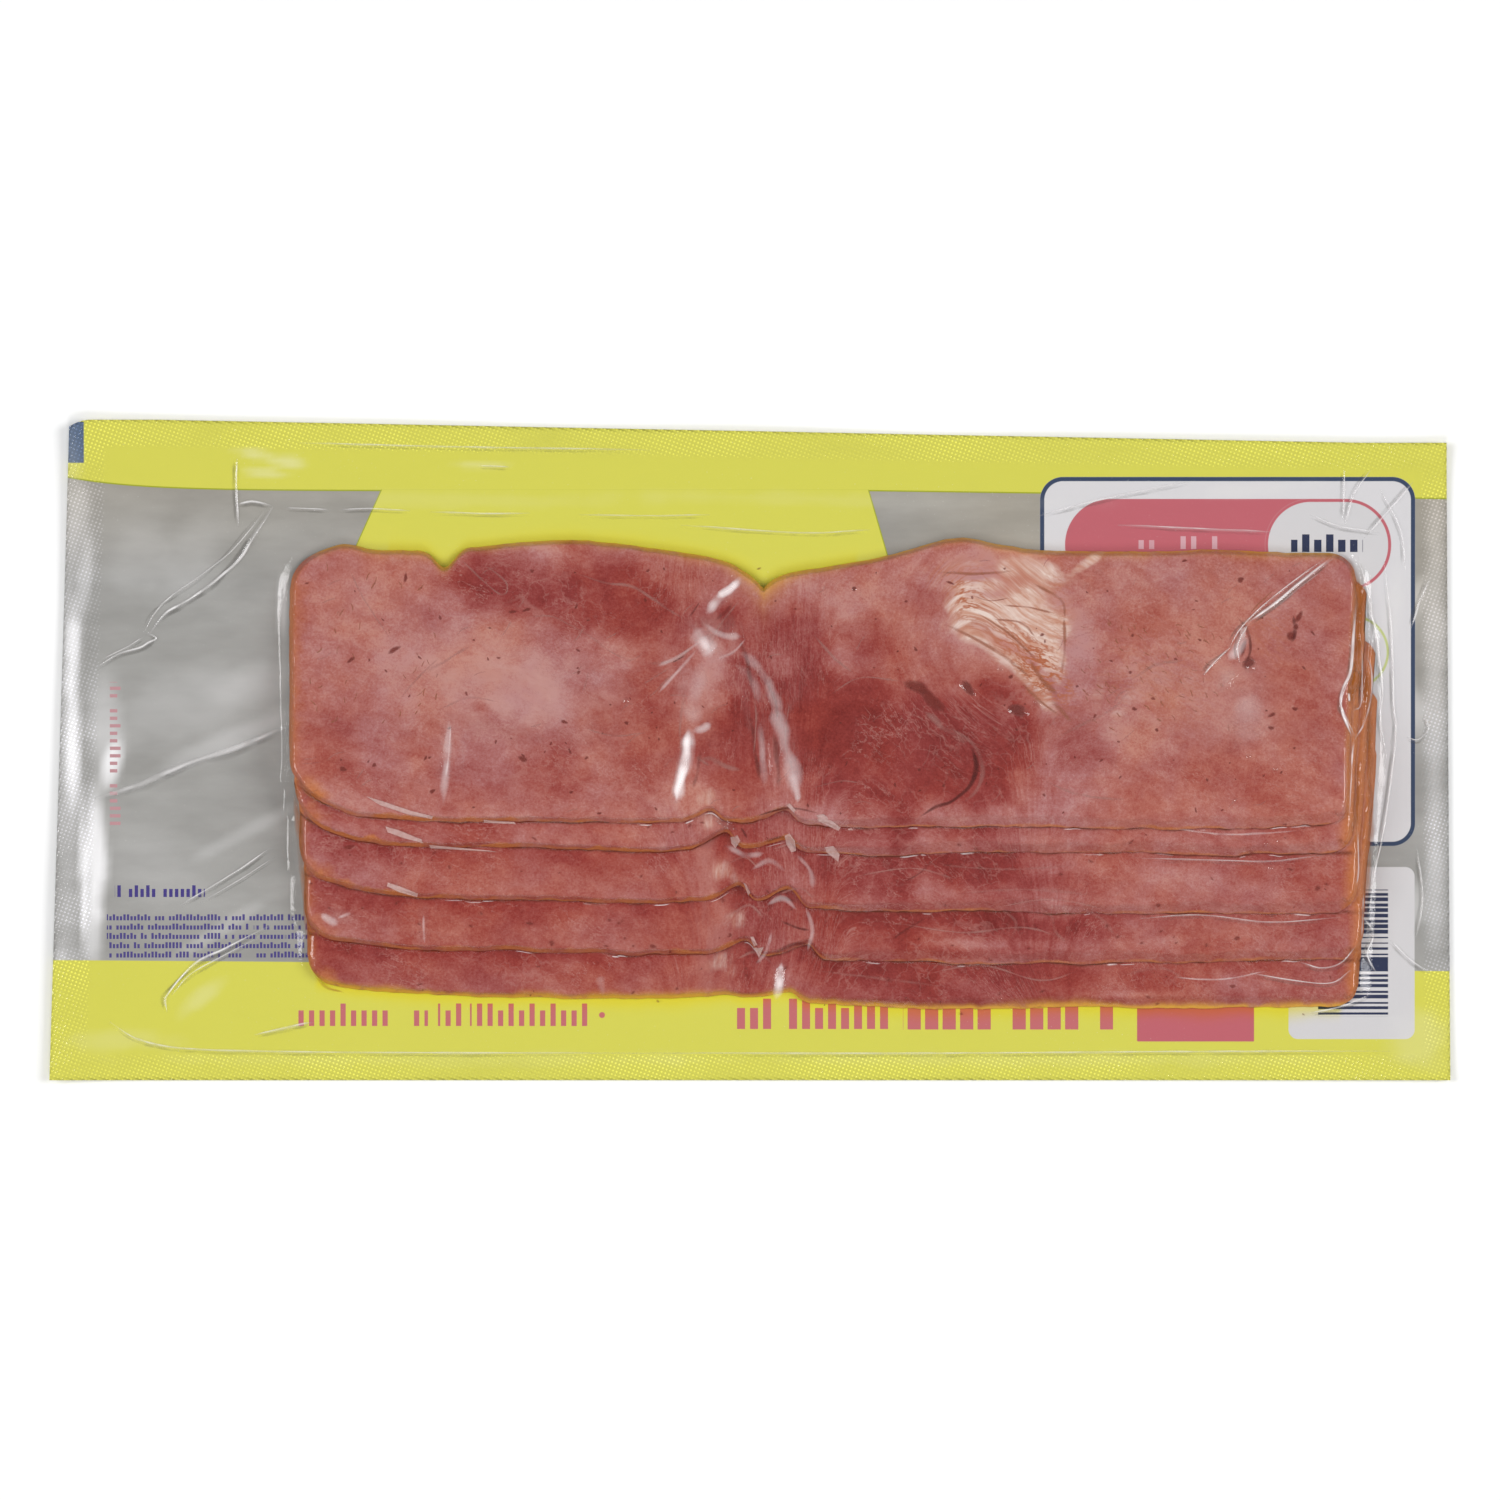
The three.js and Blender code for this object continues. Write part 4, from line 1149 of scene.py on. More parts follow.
# Creases of the clear film, fine folded lines that catch the light: points, width and height.
CREASES = [
    ([(-95.4, 48.6), (-99.2, 42.8), (-102.6, 37.8), (-107.6, 33.2), (-111.8, 30.2), (-116.6, 27.4),
     (-120.2, 23.2)], 0.9, 0.5),
    ([(-96.4, 48.6), (-103.2, 40.4), (-109, 35.4), (-115.8, 30.6), (-119.2, 27.2),
     (-121.2, 23.4)], 0.45, 0.25),
    ([(-120.6, 23.4), (-118.8, 22.4), (-120.2, 21.4), (-122, 20.4), (-126.4, 19),
     (-131.4, 16)], 0.6, 0.35), ([(-121.2, 22.6), (-124.4, 20.6), (-129.6, 18)], 0.35, 0.2),
    ([(-95.8, -35), (-105, -39.8), (-111, -42.8), (-116.6, -49), (-116.6, -52.4)], 0.7, 0.4),
    ([(-98, -37.4), (-106, -41.6), (-112, -45), (-115.6, -49)], 0.35, 0.2),
    ([(-95.6, -19.4), (-101.2, -23.4), (-108, -27.6), (-113.8, -31)], 0.5, 0.3),
    ([(-95, -21.4), (-102, -26), (-110, -30.6)], 0.3, 0.15),
    ([(-92.4, 4.8), (-101.2, 1), (-112.8, -3), (-122.6, -7.2), (-131, -9.8)], 1.6, 0.18),
    ([(-87.6, -54.4), (-99, -57)], 0.6, 0.2),
    ([(-102.6, 58.2), (-102.8, 52.4), (-102.3, 44.6)], 0.5, 0.3),
    ([(-102.6, 49), (-99.4, 49.6), (-95.6, 48.8)], 0.6, 0.3),
    ([(-93, 48.4), (-89, 48.2), (-84, 48)], 0.5, 0.25),
    ([(-82, 48), (-76, 48.2), (-68, 47.8)], 0.4, 0.16),
    ([(-64, 47.6), (-52, 47.2), (-44, 47.4)], 0.4, 0.14), ([(-54.4, 56.8), (-48, 56.6)], 0.35, 0.14),
    ([(-34, 47), (-20, 46.8), (-8, 47)], 0.4, 0.1), ([(-14, 45), (10, 43.4), (24, 44)], 0.4, 0.08),
    ([(57.6, 46.8), (72, 50.4), (88.8, 53.8)], 0.5, 0.16),
    ([(73.6, 45), (90, 44.2), (104.2, 43.6)], 0.5, 0.14),
    ([(132.6, 53.6), (128, 48.4), (122.8, 42.4)], 0.5, 0.22),
    ([(135.8, 34.4), (133.6, 29), (132.2, 24.4)], 0.6, 0.25),
    ([(134.6, 7), (135.6, 4.4), (133.6, 2), (131.2, 2.6)], 0.5, 0.25),
    ([(124, 56), (120.6, 51), (119, 45)], 0.5, 0.2),
    ([(133.4, -20), (134.4, -30), (133, -38)], 0.5, 0.2),
    ([(112, 47), (118, 44.6), (126, 43.4)], 0.4, 0.2), ([(118.8, 56), (118.6, 46.2)], 0.5, 0.2),
    ([(126, 52), (130, 44), (131, 36)], 0.4, 0.14),
    ([(-128, -54.4), (-122, -58), (-112, -59.8), (-90, -60.4), (-60, -60.6), (-20, -60.6)], 0.5, 0.12),
    ([(-20, -60.6), (30, -60.7), (80, -60.4), (128, -60.2)], 0.45, 0.1),
    ([(116.4, 38.3), (110, 33.4), (104.2, 28.6), (99.4, 25.4)], 0.8, 0.4),
    ([(115, 38.4), (108, 33.2), (102, 28.4), (97.6, 24), (95.6, 20.4)], 0.4, 0.25),
    ([(99.4, 25.2), (97.2, 21), (97.6, 17.4)], 0.5, 0.3),
    ([(96, 20.6), (92.4, 17.4), (90.4, 15)], 0.5, 0.25),
    ([(-90, 61.4), (-60, 60.6), (-20, 60)], 0.4, 0.1),
    ([(121.6, 38.8), (124, 30), (124.2, 27), (125.2, 23), (126.4, 12), (126, 6), (127, 0)], 0.6, 0.35),
    ([(126.8, 38), (128.2, 24), (128.6, 10), (129, 2), (126.6, -16), (124.6, -26),
     (122.8, -42)], 0.5, 0.3),
    ([(120.6, 28), (120, 17), (117.8, 10), (118.4, 7), (120.8, 2.4)], 0.6, 0.35),
    ([(122.2, 22), (122, 10), (120.4, 7.8)], 0.4, 0.2),
    ([(110, -42.4), (114, -43.6), (118, -42.6), (121, -39)], 0.4, 0.25),
    ([(100, -44.6), (108, -46), (116, -46.6), (120, -44)], 0.4, 0.2),
    ([(122, -33), (124.6, -36.6), (123.4, -41), (125.4, -45)], 0.6, 0.3),
    ([(124, -49), (118, -51.4), (112, -52.6)], 0.5, 0.25),
    ([(128, -38), (132, -42), (136, -44.6)], 0.5, 0.2),
    ([(78, -33.6), (90, -33), (104, -34.4), (118, -33.4)], 0.35, 0.1),
    ([(78, -21.6), (92, -22), (104, -22.2), (114, -21)], 0.35, 0.1),
]


def curve_through(points, count):
    """Catmull-Rom curve through the points, sampled evenly in its own parameter."""
    p = np.array(points, dtype=float)
    p = np.vstack([2 * p[0] - p[1], p, 2 * p[-1] - p[-2]])
    t = np.linspace(0, len(points) - 1 - 1e-6, count)
    i = np.floor(t).astype(int)
    s = (t - i)[:, None]
    a, b, c, d = p[i], p[i + 1], p[i + 2], p[i + 3]
    return 0.5 * (2 * b + (c - a) * s + (2 * a - 5 * b + 4 * c - d) * s**2 + (3 * b - 3 * c + d - a) * s**3)


def strip_along(points, width, pitch, across, seed):
    """Places beside a path, and how far along it they are: the strip thins out towards both ends and
    wavers."""
    length = sum(np.hypot(x1 - x0, y1 - y0) for (x0, y0), (x1, y1) in zip(points, points[1:]))
    count = int(np.clip(length / pitch, 9, 300))
    middle = curve_through(points, count)
    along = np.gradient(middle, axis=0)
    side = np.stack([-along[:, 1], along[:, 0]], axis=1) / np.hypot(along[:, 0], along[:, 1])[:, None]
    share = np.linspace(0, 1, count)
    still = np.zeros(count)
    fade = smooth(share / 0.2) * smooth((1 - share) / 0.2)
    shake = 0.1 * width * lattice_noise(share * length, still, 2.5, seed + 5)
    half = 0.5 * width * (0.3 + 0.7 * fade) * (1 + 0.35 * lattice_noise(share * length, still, 3.5, seed))
    reach = half[:, None] * across + shake[:, None]
    x, y = middle[:, :1] + side[:, :1] * reach, middle[:, 1:] + side[:, 1:] * reach
    return x, y, share * length, fade


def make_creases(material):
    """All the creases as one piece: each is a low round ridge, with a height that comes and goes along
    it."""
    points, faces, total = [], [], 0
    across = np.linspace(-1, 1, 7)
    for n, (path, width, height) in enumerate(CREASES):
        x, y, way, fade = strip_along(path, width, 0.35, across, 301 + 3 * n)
        tall = height * fade * (0.75 + 0.6 * lattice_noise(way, way * 0, 3.5, 302 + 3 * n))
        z = film_top(x, y) + 0.02 + np.clip(tall, 0.02, None)[:, None] * np.sqrt(1 - 0.999 * across**2)
        points.append(np.stack([x, y, z], axis=-1).reshape(-1, 3))
        faces += grid_faces(*x.shape, total)[:, ::-1].tolist()
        total += x.size
    points = np.concatenate(points)
    values = {"weld": np.zeros(total), "haze": np.full(total, 0.10)}
    piece = make_piece("film_creases", points, faces, values)
    piece.data.materials.append(material)
    return piece


# Fine lines in the meat: points, width and, if it isn't 1, strength.
SINEWS = [
    ([(-35.4, 35.4), (-28.8, 33.4), (-23, 32.4), (-17.2, 28.6), (-12.4, 25.8)], 0.7),
    ([(-46, 26.2), (-40.2, 26.8), (-36.4, 25.2), (-31.6, 22.4), (-26.8, 19), (-21, 17.2)], 0.45),
    ([(-21, 17.2), (-15.3, 17.8), (-11.4, 20.8)], 0.8), ([(-15.3, 15.2), (-20.2, 10.4)], 0.6),
    ([(-16, 16.4), (-21.4, 13)], 0.5), ([(-10.4, -2), (-7.6, -1.8), (-4.8, -3.2), (-1.4, -4)], 1.1),
    ([(-11, -1.2), (-8, -3)], 0.9), ([(-65.2, 15.2), (-60.4, 18), (-55.6, 21)], 0.8),
    ([(-70, 10), (-66, 14.6), (-62, 18.4)], 0.5), ([(-62, 8), (-56, 10.4), (-50, 9.6)], 0.5),
    ([(-33, 4.4), (-27, 2.8), (-20, 3.6)], 0.4),
    ([(34, 8), (36.6, 6.2), (38.4, 4.4), (41.2, 2.8), (43.4, 1)], 1.3),
    ([(38, 5.4), (40.6, 3.8), (44, 1.6), (45.8, -1.6), (46.2, -5), (44.8, -8.4), (41.6, -11)], 1.1, 0.7),
    ([(12.4, 23.4), (17.2, 18), (21, 15.2)], 0.7), ([(12, -7.6), (18, -6.2), (22, -6.6)], 0.4),
    ([(16, 11), (22, 14.4), (31, 13.6)], 0.4), ([(60, 2), (66, 5), (72, 8), (76, 12)], 0.8),
    ([(76, 14), (81, 17), (87, 18)], 0.7), ([(58, -6), (66, -9), (76, -10)], 0.6),
    ([(-2, 30), (-6, 25), (-9, 19)], 0.7), ([(-13, 12), (-14, 4), (-13.2, -2)], 0.6),
    ([(0.6, 14), (1.2, 6), (0.6, -2)], 0.5), ([(8, 10), (7, 2), (8.6, -5)], 0.5),
    ([(56, -30.8), (60, -33), (61, -36.4), (64, -38.6)], 0.8, 0.6),
    ([(50, -31.6), (53, -34.4), (52, -38)], 0.7, 0.6),
    ([(66, -31.6), (70, -33.6), (73, -37.4)], 0.8, 0.6),
    ([(30, -42.4), (44, -43), (58, -42), (70, -43.2)], 0.6, 0.5),
    ([(12, -44), (26, -45.6), (40, -47.4)], 0.6, 0.5), ([(74, -45), (82, -43.6), (88, -46.4)], 0.7, 0.5),
    ([(36, -22.8), (52, -23.8), (66, -22.8)], 0.6, 0.5),
    ([(40, -28.8), (54, -27.8), (70, -29)], 0.6, 0.5), ([(20, -25.4), (32, -23.6), (42, -26)], 0.4),
    ([(26, -34), (42, -36.4), (54, -35.4), (62, -37.2)], 0.45),
    ([(34, -45), (46, -43), (58, -46), (66, -44)], 0.45), ([(48, -31.6), (60, -29.8), (72, -32)], 0.35),
    ([(-58.8, 39), (-56, 36.4), (-52.6, 33.2), (-50, 31.2), (-48.6, 31.6), (-48.8, 33.6),
     (-51.4, 35.8), (-55, 38)], 0.5), ([(-80, 36), (-77, 30), (-71, 21)], 0.35),
    ([(-5, -23), (-1, -21.4), (2, -24)], 0.6), ([(-4, -33), (0, -31), (3, -34)], 0.6),
    ([(-3, -42), (1, -40.4), (5, -43)], 0.6), ([(4, -20), (9, -18.6), (12, -20.4)], 0.5),
    ([(5, -29), (10, -27.6), (13, -30)], 0.5),
]
CUTS = [
    ([(0.2, 6), (1.0, 0), (2.0, -6.6)], 1.1, 0.45), ([(4.6, 4), (5.6, -3), (5.8, -8)], 1.4, 0.4),
    ([(-2, 22), (-0.6, 18), (0.4, 12)], 1.0, 0.4), ([(-9.8, 0), (-10.4, -4), (-11.4, -8)], 1.0, 0.3),
    ([(3, 14), (5, 10), (5.6, 6)], 1.0, 0.35), ([(-7.4, 25.6), (-5, 27.4), (-3.4, 29.6)], 0.8, 0.4),
    ([(1, -13.2), (4.4, -12.2), (9, -11.6), (15, -13)], 0.5, 0.7),
    ([(3, -32.6), (6, -29.6), (9.4, -30.4)], 0.9, 0.55),
    ([(4.6, -41), (8, -39), (12, -38.6)], 0.9, 0.55),
    ([(2.6, -18.6), (6.4, -17.4), (9.6, -18.6)], 0.6, 0.5),
    ([(43.8, 1.4), (44.9, -1.6), (44.8, -4.8), (43, -8), (40, -10.2), (36.4, -11.6),
     (32.6, -14)], 1.0, 0.9), ([(44.4, -0.4), (45, -3.4), (44.2, -6.6)], 1.1, 0.5),
    ([(37, -21.4), (34, -24.4), (30.6, -26.4)], 0.5, 0.6), ([(36, -33), (31, -36), (28, -38)], 0.4, 0.5),
    ([(-12.2, 26.4), (-10, 29.6)], 0.5), ([(-15.6, 17.4), (-13, 18.8)], 0.4),
    ([(96.8, 27), (99.2, 24), (99.8, 20), (98.6, 16.6)], 0.7),
    ([(108.4, 27), (108.8, 24), (108, 21.4)], 1.0), ([(6, -34), (9, -35.4), (12, -36)], 0.7),
    ([(-1.8, -15.4), (-0.6, -17.6)], 0.5),
]
RUST_STREAKS = [
    ([(116, 37.4), (110, 33), (104, 28.2), (100, 24.8)], 0.5),
    ([(99.6, 27), (102, 29.6), (105, 32.4)], 0.4), ([(37, 35.6), (45, 35.2), (53, 35.8)], 0.6),
    ([(50, 29), (56, 28.4), (61, 27.2)], 0.5), ([(45, 27.6), (52, 23), (58, 17)], 0.6),
    ([(38, 25.4), (45, 22.2), (51, 18.4), (57, 13.4)], 0.7),
    ([(55.4, 18.8), (58.6, 13.6), (61.6, 10.8)], 1.1), ([(60, 10), (62, 7.8), (64.2, 5.6)], 1.0),
    ([(54, 13.4), (58, 9.6), (62, 6.6)], 0.7), ([(56, 33.5), (62, 30), (63, 26)], 0.7),
    ([(48, 26.2), (54, 25.4), (57, 22.4)], 0.5), ([(62.6, 27), (62.8, 21), (62.2, 15)], 0.7),
    ([(44, 31), (48, 29.8), (52, 30.4)], 0.4),
]


# Orange juice in the foot of the film at both ends: points, width and strength.
JUICE = [
    ([(118.6, 39.2), (120.8, 35.4), (121.6, 31), (121.4, 24), (120.8, 18), (119.8, 13.4),
     (119.3, 9.8)], 2.2, 0.9), ([(121.0, 17), (120.4, 12.6), (119.9, 8.8)], 3.2, 0.9),
    ([(122.6, 20), (123.6, 8), (123.8, -4), (123.4, -14)], 1.4, 0.7),
    ([(124.2, -6), (124.2, -16), (123.4, -26), (122.6, -36)], 1.2, 0.6),
    ([(121, 0), (121.2, -10), (120.8, -18)], 0.9, 0.6),
    ([(-91.0, -6), (-90.2, -14), (-89.4, -24), (-88.6, -34), (-87.8, -43)], 1.5, 0.6),
    ([(-90.4, -5), (-88.4, -8), (-85.6, -10.4)], 1.4, 0.4),
    ([(-87.6, -44), (-85, -47.2), (-81, -48.6)], 0.8, 0.5),
]

# Painted glare on the film's pleats: pale strips with a glow of their own that stand in for highlights,
# partly the milky doubled film: points, width and strength.
PLEAT_GLARES = [
    ([(-1.4, 34.6), (-5.2, 31.2), (-9.0, 27.2)], 2.4, 0.55),
    ([(-2.2, 33.8), (-4.4, 32.0), (-6.6, 30.2)], 1.8, 0.8),
    ([(-11.4, 24.2), (-9.4, 21.6), (-7.2, 18.8)], 3.6, 0.5),
    ([(-9.6, 22.8), (-9, 21.4), (-8, 20)], 2.0, 0.5),
    ([(-9.6, 22), (-14, 18.8), (-19, 16.4)], 0.9, 0.25),
    ([(-10.4, 20.4), (-14.4, 15.6), (-18.6, 11)], 0.7, 0.3),
    ([(-9.4, 25.4), (-5.4, 23), (-1.4, 22.6)], 1.5, 0.28),
    ([(-7, 18), (-3.6, 19.4), (-0.6, 22.4)], 0.7, 0.25),
    ([(-9.4, 18), (-11, 11), (-11.8, 4.2)], 3.6, 0.16),
    ([(-12.0, 4.8), (-12.7, -1), (-13.8, -6), (-15, -10.9)], 3.2, 0.6),
    ([(-12.1, 4.6), (-12.8, -1), (-13.9, -6), (-14.9, -10.6)], 1.9, 1.15),
    ([(-11.6, 3.6), (-9.4, 4.2), (-7.8, 5.4)], 1.6, 0.4), ([(2.0, 6), (2.4, -1), (3, -7.4)], 2.0, 0.24),
    ([(4.4, 9), (6.2, 4.4), (8, -3), (9.4, -10.2)], 3.2, 0.3),
    ([(8.2, -4.0), (9.1, -7.6), (9.5, -10.6)], 1.9, 0.6),
    ([(-2.6, 20), (1.8, 16.4), (4.2, 12), (6.4, 5.6)], 2.4, 0.22),
    ([(-3.4, 17.4), (0.4, 14), (2, 8.6)], 2.0, 0.2), ([(6.3, -42.4), (5.9, -46), (5.2, -50)], 1.8, 0.9),
    ([(-60, 6.8), (-60.4, -2), (-61.2, -11.6)], 1.7, 0.28),
    ([(-59.6, 5.6), (-60, -1), (-60.6, -6)], 0.6, 0.35),
    ([(-85.6, -32.6), (-84.2, -33.8), (-82.2, -35)], 1.8, 0.5),
    ([(-79.6, -32.4), (-82.2, -33.6)], 0.8, 0.35), ([(-65.2, -32.6), (-65, -38.8)], 0.8, 0.3),
    ([(95.4, 17.6), (97.4, 20.6), (98.8, 23.4)], 3.2, 0.5),
    ([(96.6, 11), (99.8, 6), (98.6, 1)], 5.6, 0.12),
    ([(116.4, 38.7), (110.4, 34), (104.4, 29), (99.8, 25.8)], 0.5, 0.7),
    ([(114.6, 36), (108.4, 31.4), (102.8, 26.6)], 0.35, 0.3),
    ([(-5, -19), (-1, -21), (3, -20.4)], 1.4, 0.25), ([(0, -24), (4, -22), (7, -24.4)], 1.2, 0.25),
    ([(3, -31), (6.6, -29.6), (9.6, -32)], 1.2, 0.25), ([(1, -43), (3.4, -39.8), (4.4, -36)], 1.0, 0.25),
    ([(11, -31), (12.4, -36), (11.4, -40.6)], 1.0, 0.25), ([(-30, -45), (-29.4, -49)], 1.8, 0.12),
    ([(9, -20.6), (12, -24), (12.6, -28)], 1.2, 0.2),
    ([(84, -45.4), (94, -45.8), (104, -44)], 0.35, 0.35),
    ([(84, -15.6), (96, -16.8), (110, -16)], 0.5, 0.3),
    ([(121.2, 31.4), (120.4, 22), (119.7, 15.6), (118.1, 12), (117.8, 8.4), (119, 4.8),
     (120.4, 2.0)], 0.7, 1.0), ([(120.4, 2.2), (119.9, -3), (119.4, -14.2)], 0.6, 0.8),
    ([(122.7, 19.6), (124.2, 16), (124, 10), (122.4, 5), (120.4, 2)], 0.4, 0.6),
    ([(119.3, 11.4), (119.5, 9.6)], 0.7, 0.95), ([(121.2, -15), (121.4, -24), (121, -27)], 0.4, 0.5),
    ([(122.6, -28), (122.2, -38)], 0.4, 0.5),
]


def crease_lines(offset, widen, strength):
    """The creases' paths set off to one side, so that each shows as a light line beside a dark one."""
    lines = []
    for path, width, height in CREASES:
        points = np.array(path, dtype=float)
        way = np.gradient(points, axis=0)
        side = np.stack([-way[:, 1], way[:, 0]], axis=1) / np.hypot(way[:, 0], way[:, 1])[:, None]
        turned = side * np.where(side[:, :1] + side[:, 1:] > 0, 1, -1)
        moved = [tuple(spot) for spot in points + offset * turned]
        lines.append((moved, widen * width, strength * min(1, 0.3 + 1.6 * height)))
    return lines


def step_glints():
    """Short bright lines just under the rashers' front edges, at seeded places."""
    rng = np.random.default_rng(41)
    glints = []
    for k in range(LAST):
        for _ in range(9):
            start, length = rng.uniform(-74, 112), rng.uniform(1.0, 4.5)
            xs = np.linspace(start, start + length, 4)
            ys = front_edge(k, xs) - rng.uniform(0.25, 0.5)
            glints.append((list(zip(xs, ys)), rng.uniform(0.2, 0.36), rng.uniform(0.3, 0.75)))
    return glints


def make_strips(name, table, material, seeded=None, lift=-0.055):
    """Fine lines as flat strips just under or over the film, with an attribute that fades their borders
    and ends: strength 1 unless a third value gives it."""
    points, faces, soft, total = [], [], [], 0
    across = np.array([-1, -0.45, 0, 0.45, 1.0])
    for n, (path, width, *given) in enumerate([*table, *(seeded or [])]):
        x, y, way, fade = strip_along(path, width, 0.5, across, 401 + 3 * n)
        points.append(np.stack([x, y, film_top(x, y) + lift], axis=-1).reshape(-1, 3))
        uneven = np.clip(0.78 + 0.5 * lattice_noise(way, way * 0, 2.2, 402 + 3 * n), 0, 1)
        strength = (given[0] if given else 1.0) * fade * uneven
        soft.append((strength[:, None] * np.array([0, 0.75, 1, 0.75, 0])).ravel())
        faces += grid_faces(*x.shape, total)[:, ::-1].tolist()
        total += x.size
    piece = make_piece(name, np.concatenate(points), faces, {"soft": np.concatenate(soft)})
    piece.data.materials.append(material)
    return piece


def seeded_hairs(seed, count, box, turn, length):
    """Short curved strokes in a box of the pack, about one way."""
    rng = np.random.default_rng(seed)
    hairs = []
    for _ in range(count):
        x, y = rng.uniform(box[0], box[1]), rng.uniform(box[2], box[3])
        a = np.radians(turn + rng.normal(0, 22))
        reach = rng.uniform(0.5, 1) * length
        bend = rng.uniform(-0.3, 0.3)
        dx, dy = np.cos(a) * reach / 2, np.sin(a) * reach / 2
        path = [(x - dx, y - dy), (x - bend * dy, y + bend * dx), (x + dx, y + dy)]
        hairs.append((path, rng.uniform(0.22, 0.42)))
    return hairs


# Pores in the meat: x, y, half-length, half-width, turn.
PORES = [
    (-68.8, 34.4, 1.0, 0.4, 75), (-47.4, 27.6, 0.8, 0.4, 0), (-44.6, 28, 0.9, 0.4, 20),
    (-45.2, -1.8, 1.0, 0.6, -10), (-81, -3.8, 0.9, 0.5, 0), (-74.8, -3, 0.6, 0.4, 20),
    (-63.2, -8.2, 0.7, 0.45, 10), (-71, 20, 1.3, 0.6, 25), (-79.6, 18, 0.9, 0.5, 40),
    (-64.6, -1.6, 0.6, 0.3, 70), (-37, 5.6, 0.9, 0.35, -10), (-24.6, 5.4, 0.6, 0.35, -20),
    (-35.6, -8.4, 0.5, 0.3, 0), (40, 33.4, 0.9, 0.3, -25), (33.2, 12.6, 2.3, 1.5, -20),
    (36.2, 10, 3.0, 1.5, -38), (43.4, 12.4, 1.9, 0.95, -42), (53.2, 8, 2.2, 1.1, -12),
    (98, 34, 0.8, 0.6, 0), (86.8, 37.8, 0.6, 0.3, 0), (99.4, 17.4, 1.3, 1.4, 30),
    (108.6, 8.2, 0.6, 0.5, 0), (109.6, 26.6, 1.3, 0.6, 70), (107.8, 22.8, 1.1, 0.7, 95),
    (109, 24.6, 0.7, 0.5, 40), (98.4, 20.4, 1.9, 0.6, 70), (104, 7, 0.8, 0.45, 20),
    (103.8, 4.4, 0.6, 0.5, 0), (76.6, 8.2, 0.55, 0.45, 0), (81, 4, 0.45, 0.35, 0),
    (20.8, 32.2, 0.6, 0.5, 0), (58.3, 23, 0.5, 0.35, 0), (52, 14.6, 0.5, 0.5, 0),
    (-80, -19.4, 1.0, 0.5, 10), (-19.4, -39.2, 0.7, 0.5, 0), (-44, -34.6, 0.8, 0.35, 0),
    (-39.6, -38.6, 0.5, 0.6, 0), (113.2, -27.6, 0.6, 0.5, 0), (97.2, -37.6, 0.6, 0.5, 0),
    (96.4, -47.2, 0.6, 0.45, 0), (48, -42, 0.5, 0.3, 0), (100, -20.6, 0.5, 0.35, 0),
    (81.4, -31, 0.5, 0.4, 0), (62, -24.8, 0.45, 0.3, 0), (-4, -37, 0.5, 0.35, 40),
    (-30, -12.6, 0.5, 0.3, 0),
]


def make_pores(material):
    """Pores as flat uneven discs just over the meat, dark in the middle and faded at the rim: those listed,
    and small ones at seeded places."""
    rng = np.random.default_rng(17)
    seeded = []
    for _ in range(230):
        cx, cy = rng.uniform(-89, 117), rng.uniform(-53, 37)
        half_width = rng.uniform(0.14, 0.34)
        seeded.append((cx, cy, half_width * rng.uniform(1, 2.2), half_width, rng.uniform(0, 180)))
    turns = np.linspace(0, 2 * np.pi, 12, endpoint=False)
    points, faces, soft, total = [], [], [], 0
    for n, (cx, cy, half_length, half_width, turn) in enumerate([*PORES, *seeded]):
        c, s = np.cos(np.radians(turn)), np.sin(np.radians(turn))
        uneven = 1 + 0.18 * np.sin(2 * turns + n) + 0.1 * np.sin(3 * turns + 2.1 * n)
        for ring, strength in ((0.0, 1.0), (0.55, 0.9), (1.05, 0.0)):
            u, v = ring * half_length * uneven * np.cos(turns), ring * half_width * uneven * np.sin(turns)
            x, y = cx + u * c - v * s, cy + u * s + v * c
            points.append(np.stack([x, y, film_top(x, y) - 0.05], axis=-1))
            soft.append(np.full(12, strength * (0.85 if n < len(PORES) else 0.7)))
        for ring in range(2):
            for i in range(12):
                a, b = total + ring * 12 + i, total + ring * 12 + (i + 1) % 12
                faces.append([a, a + 12, b + 12, b])
        total += 36
    piece = make_piece("meat_pores", np.concatenate(points), faces, {"soft": np.concatenate(soft)})
    piece.data.materials.append(material)
    return piece


def soft_material(name, colour, roughness, strength, glow=0.0):
    """Colour that fades out by the attribute soft, with a glow of its own for a sheen that the lights
    don't give."""
    material, tree = new_material(name)
    place = millimetres(tree)
    shade = over(tree, noise(tree, place, 1.2, 3), tuple(0.75 * c for c in colour), colour)
    sockets = {"Specular_IOR_Level": 0.03, "Emission_Color": (1, 0.95, 0.95, 1), "Emission_Strength": glow}
    solid = principled(tree, shade, roughness, None, **sockets)
    clear = tree.nodes.new("ShaderNodeBsdfTransparent")
    share = maths(tree, "MULTIPLY", attribute(tree, "soft"), strength)
    finish_material(tree, add(tree, "ShaderNodeMixShader", share, clear.outputs[0], solid))
    return material


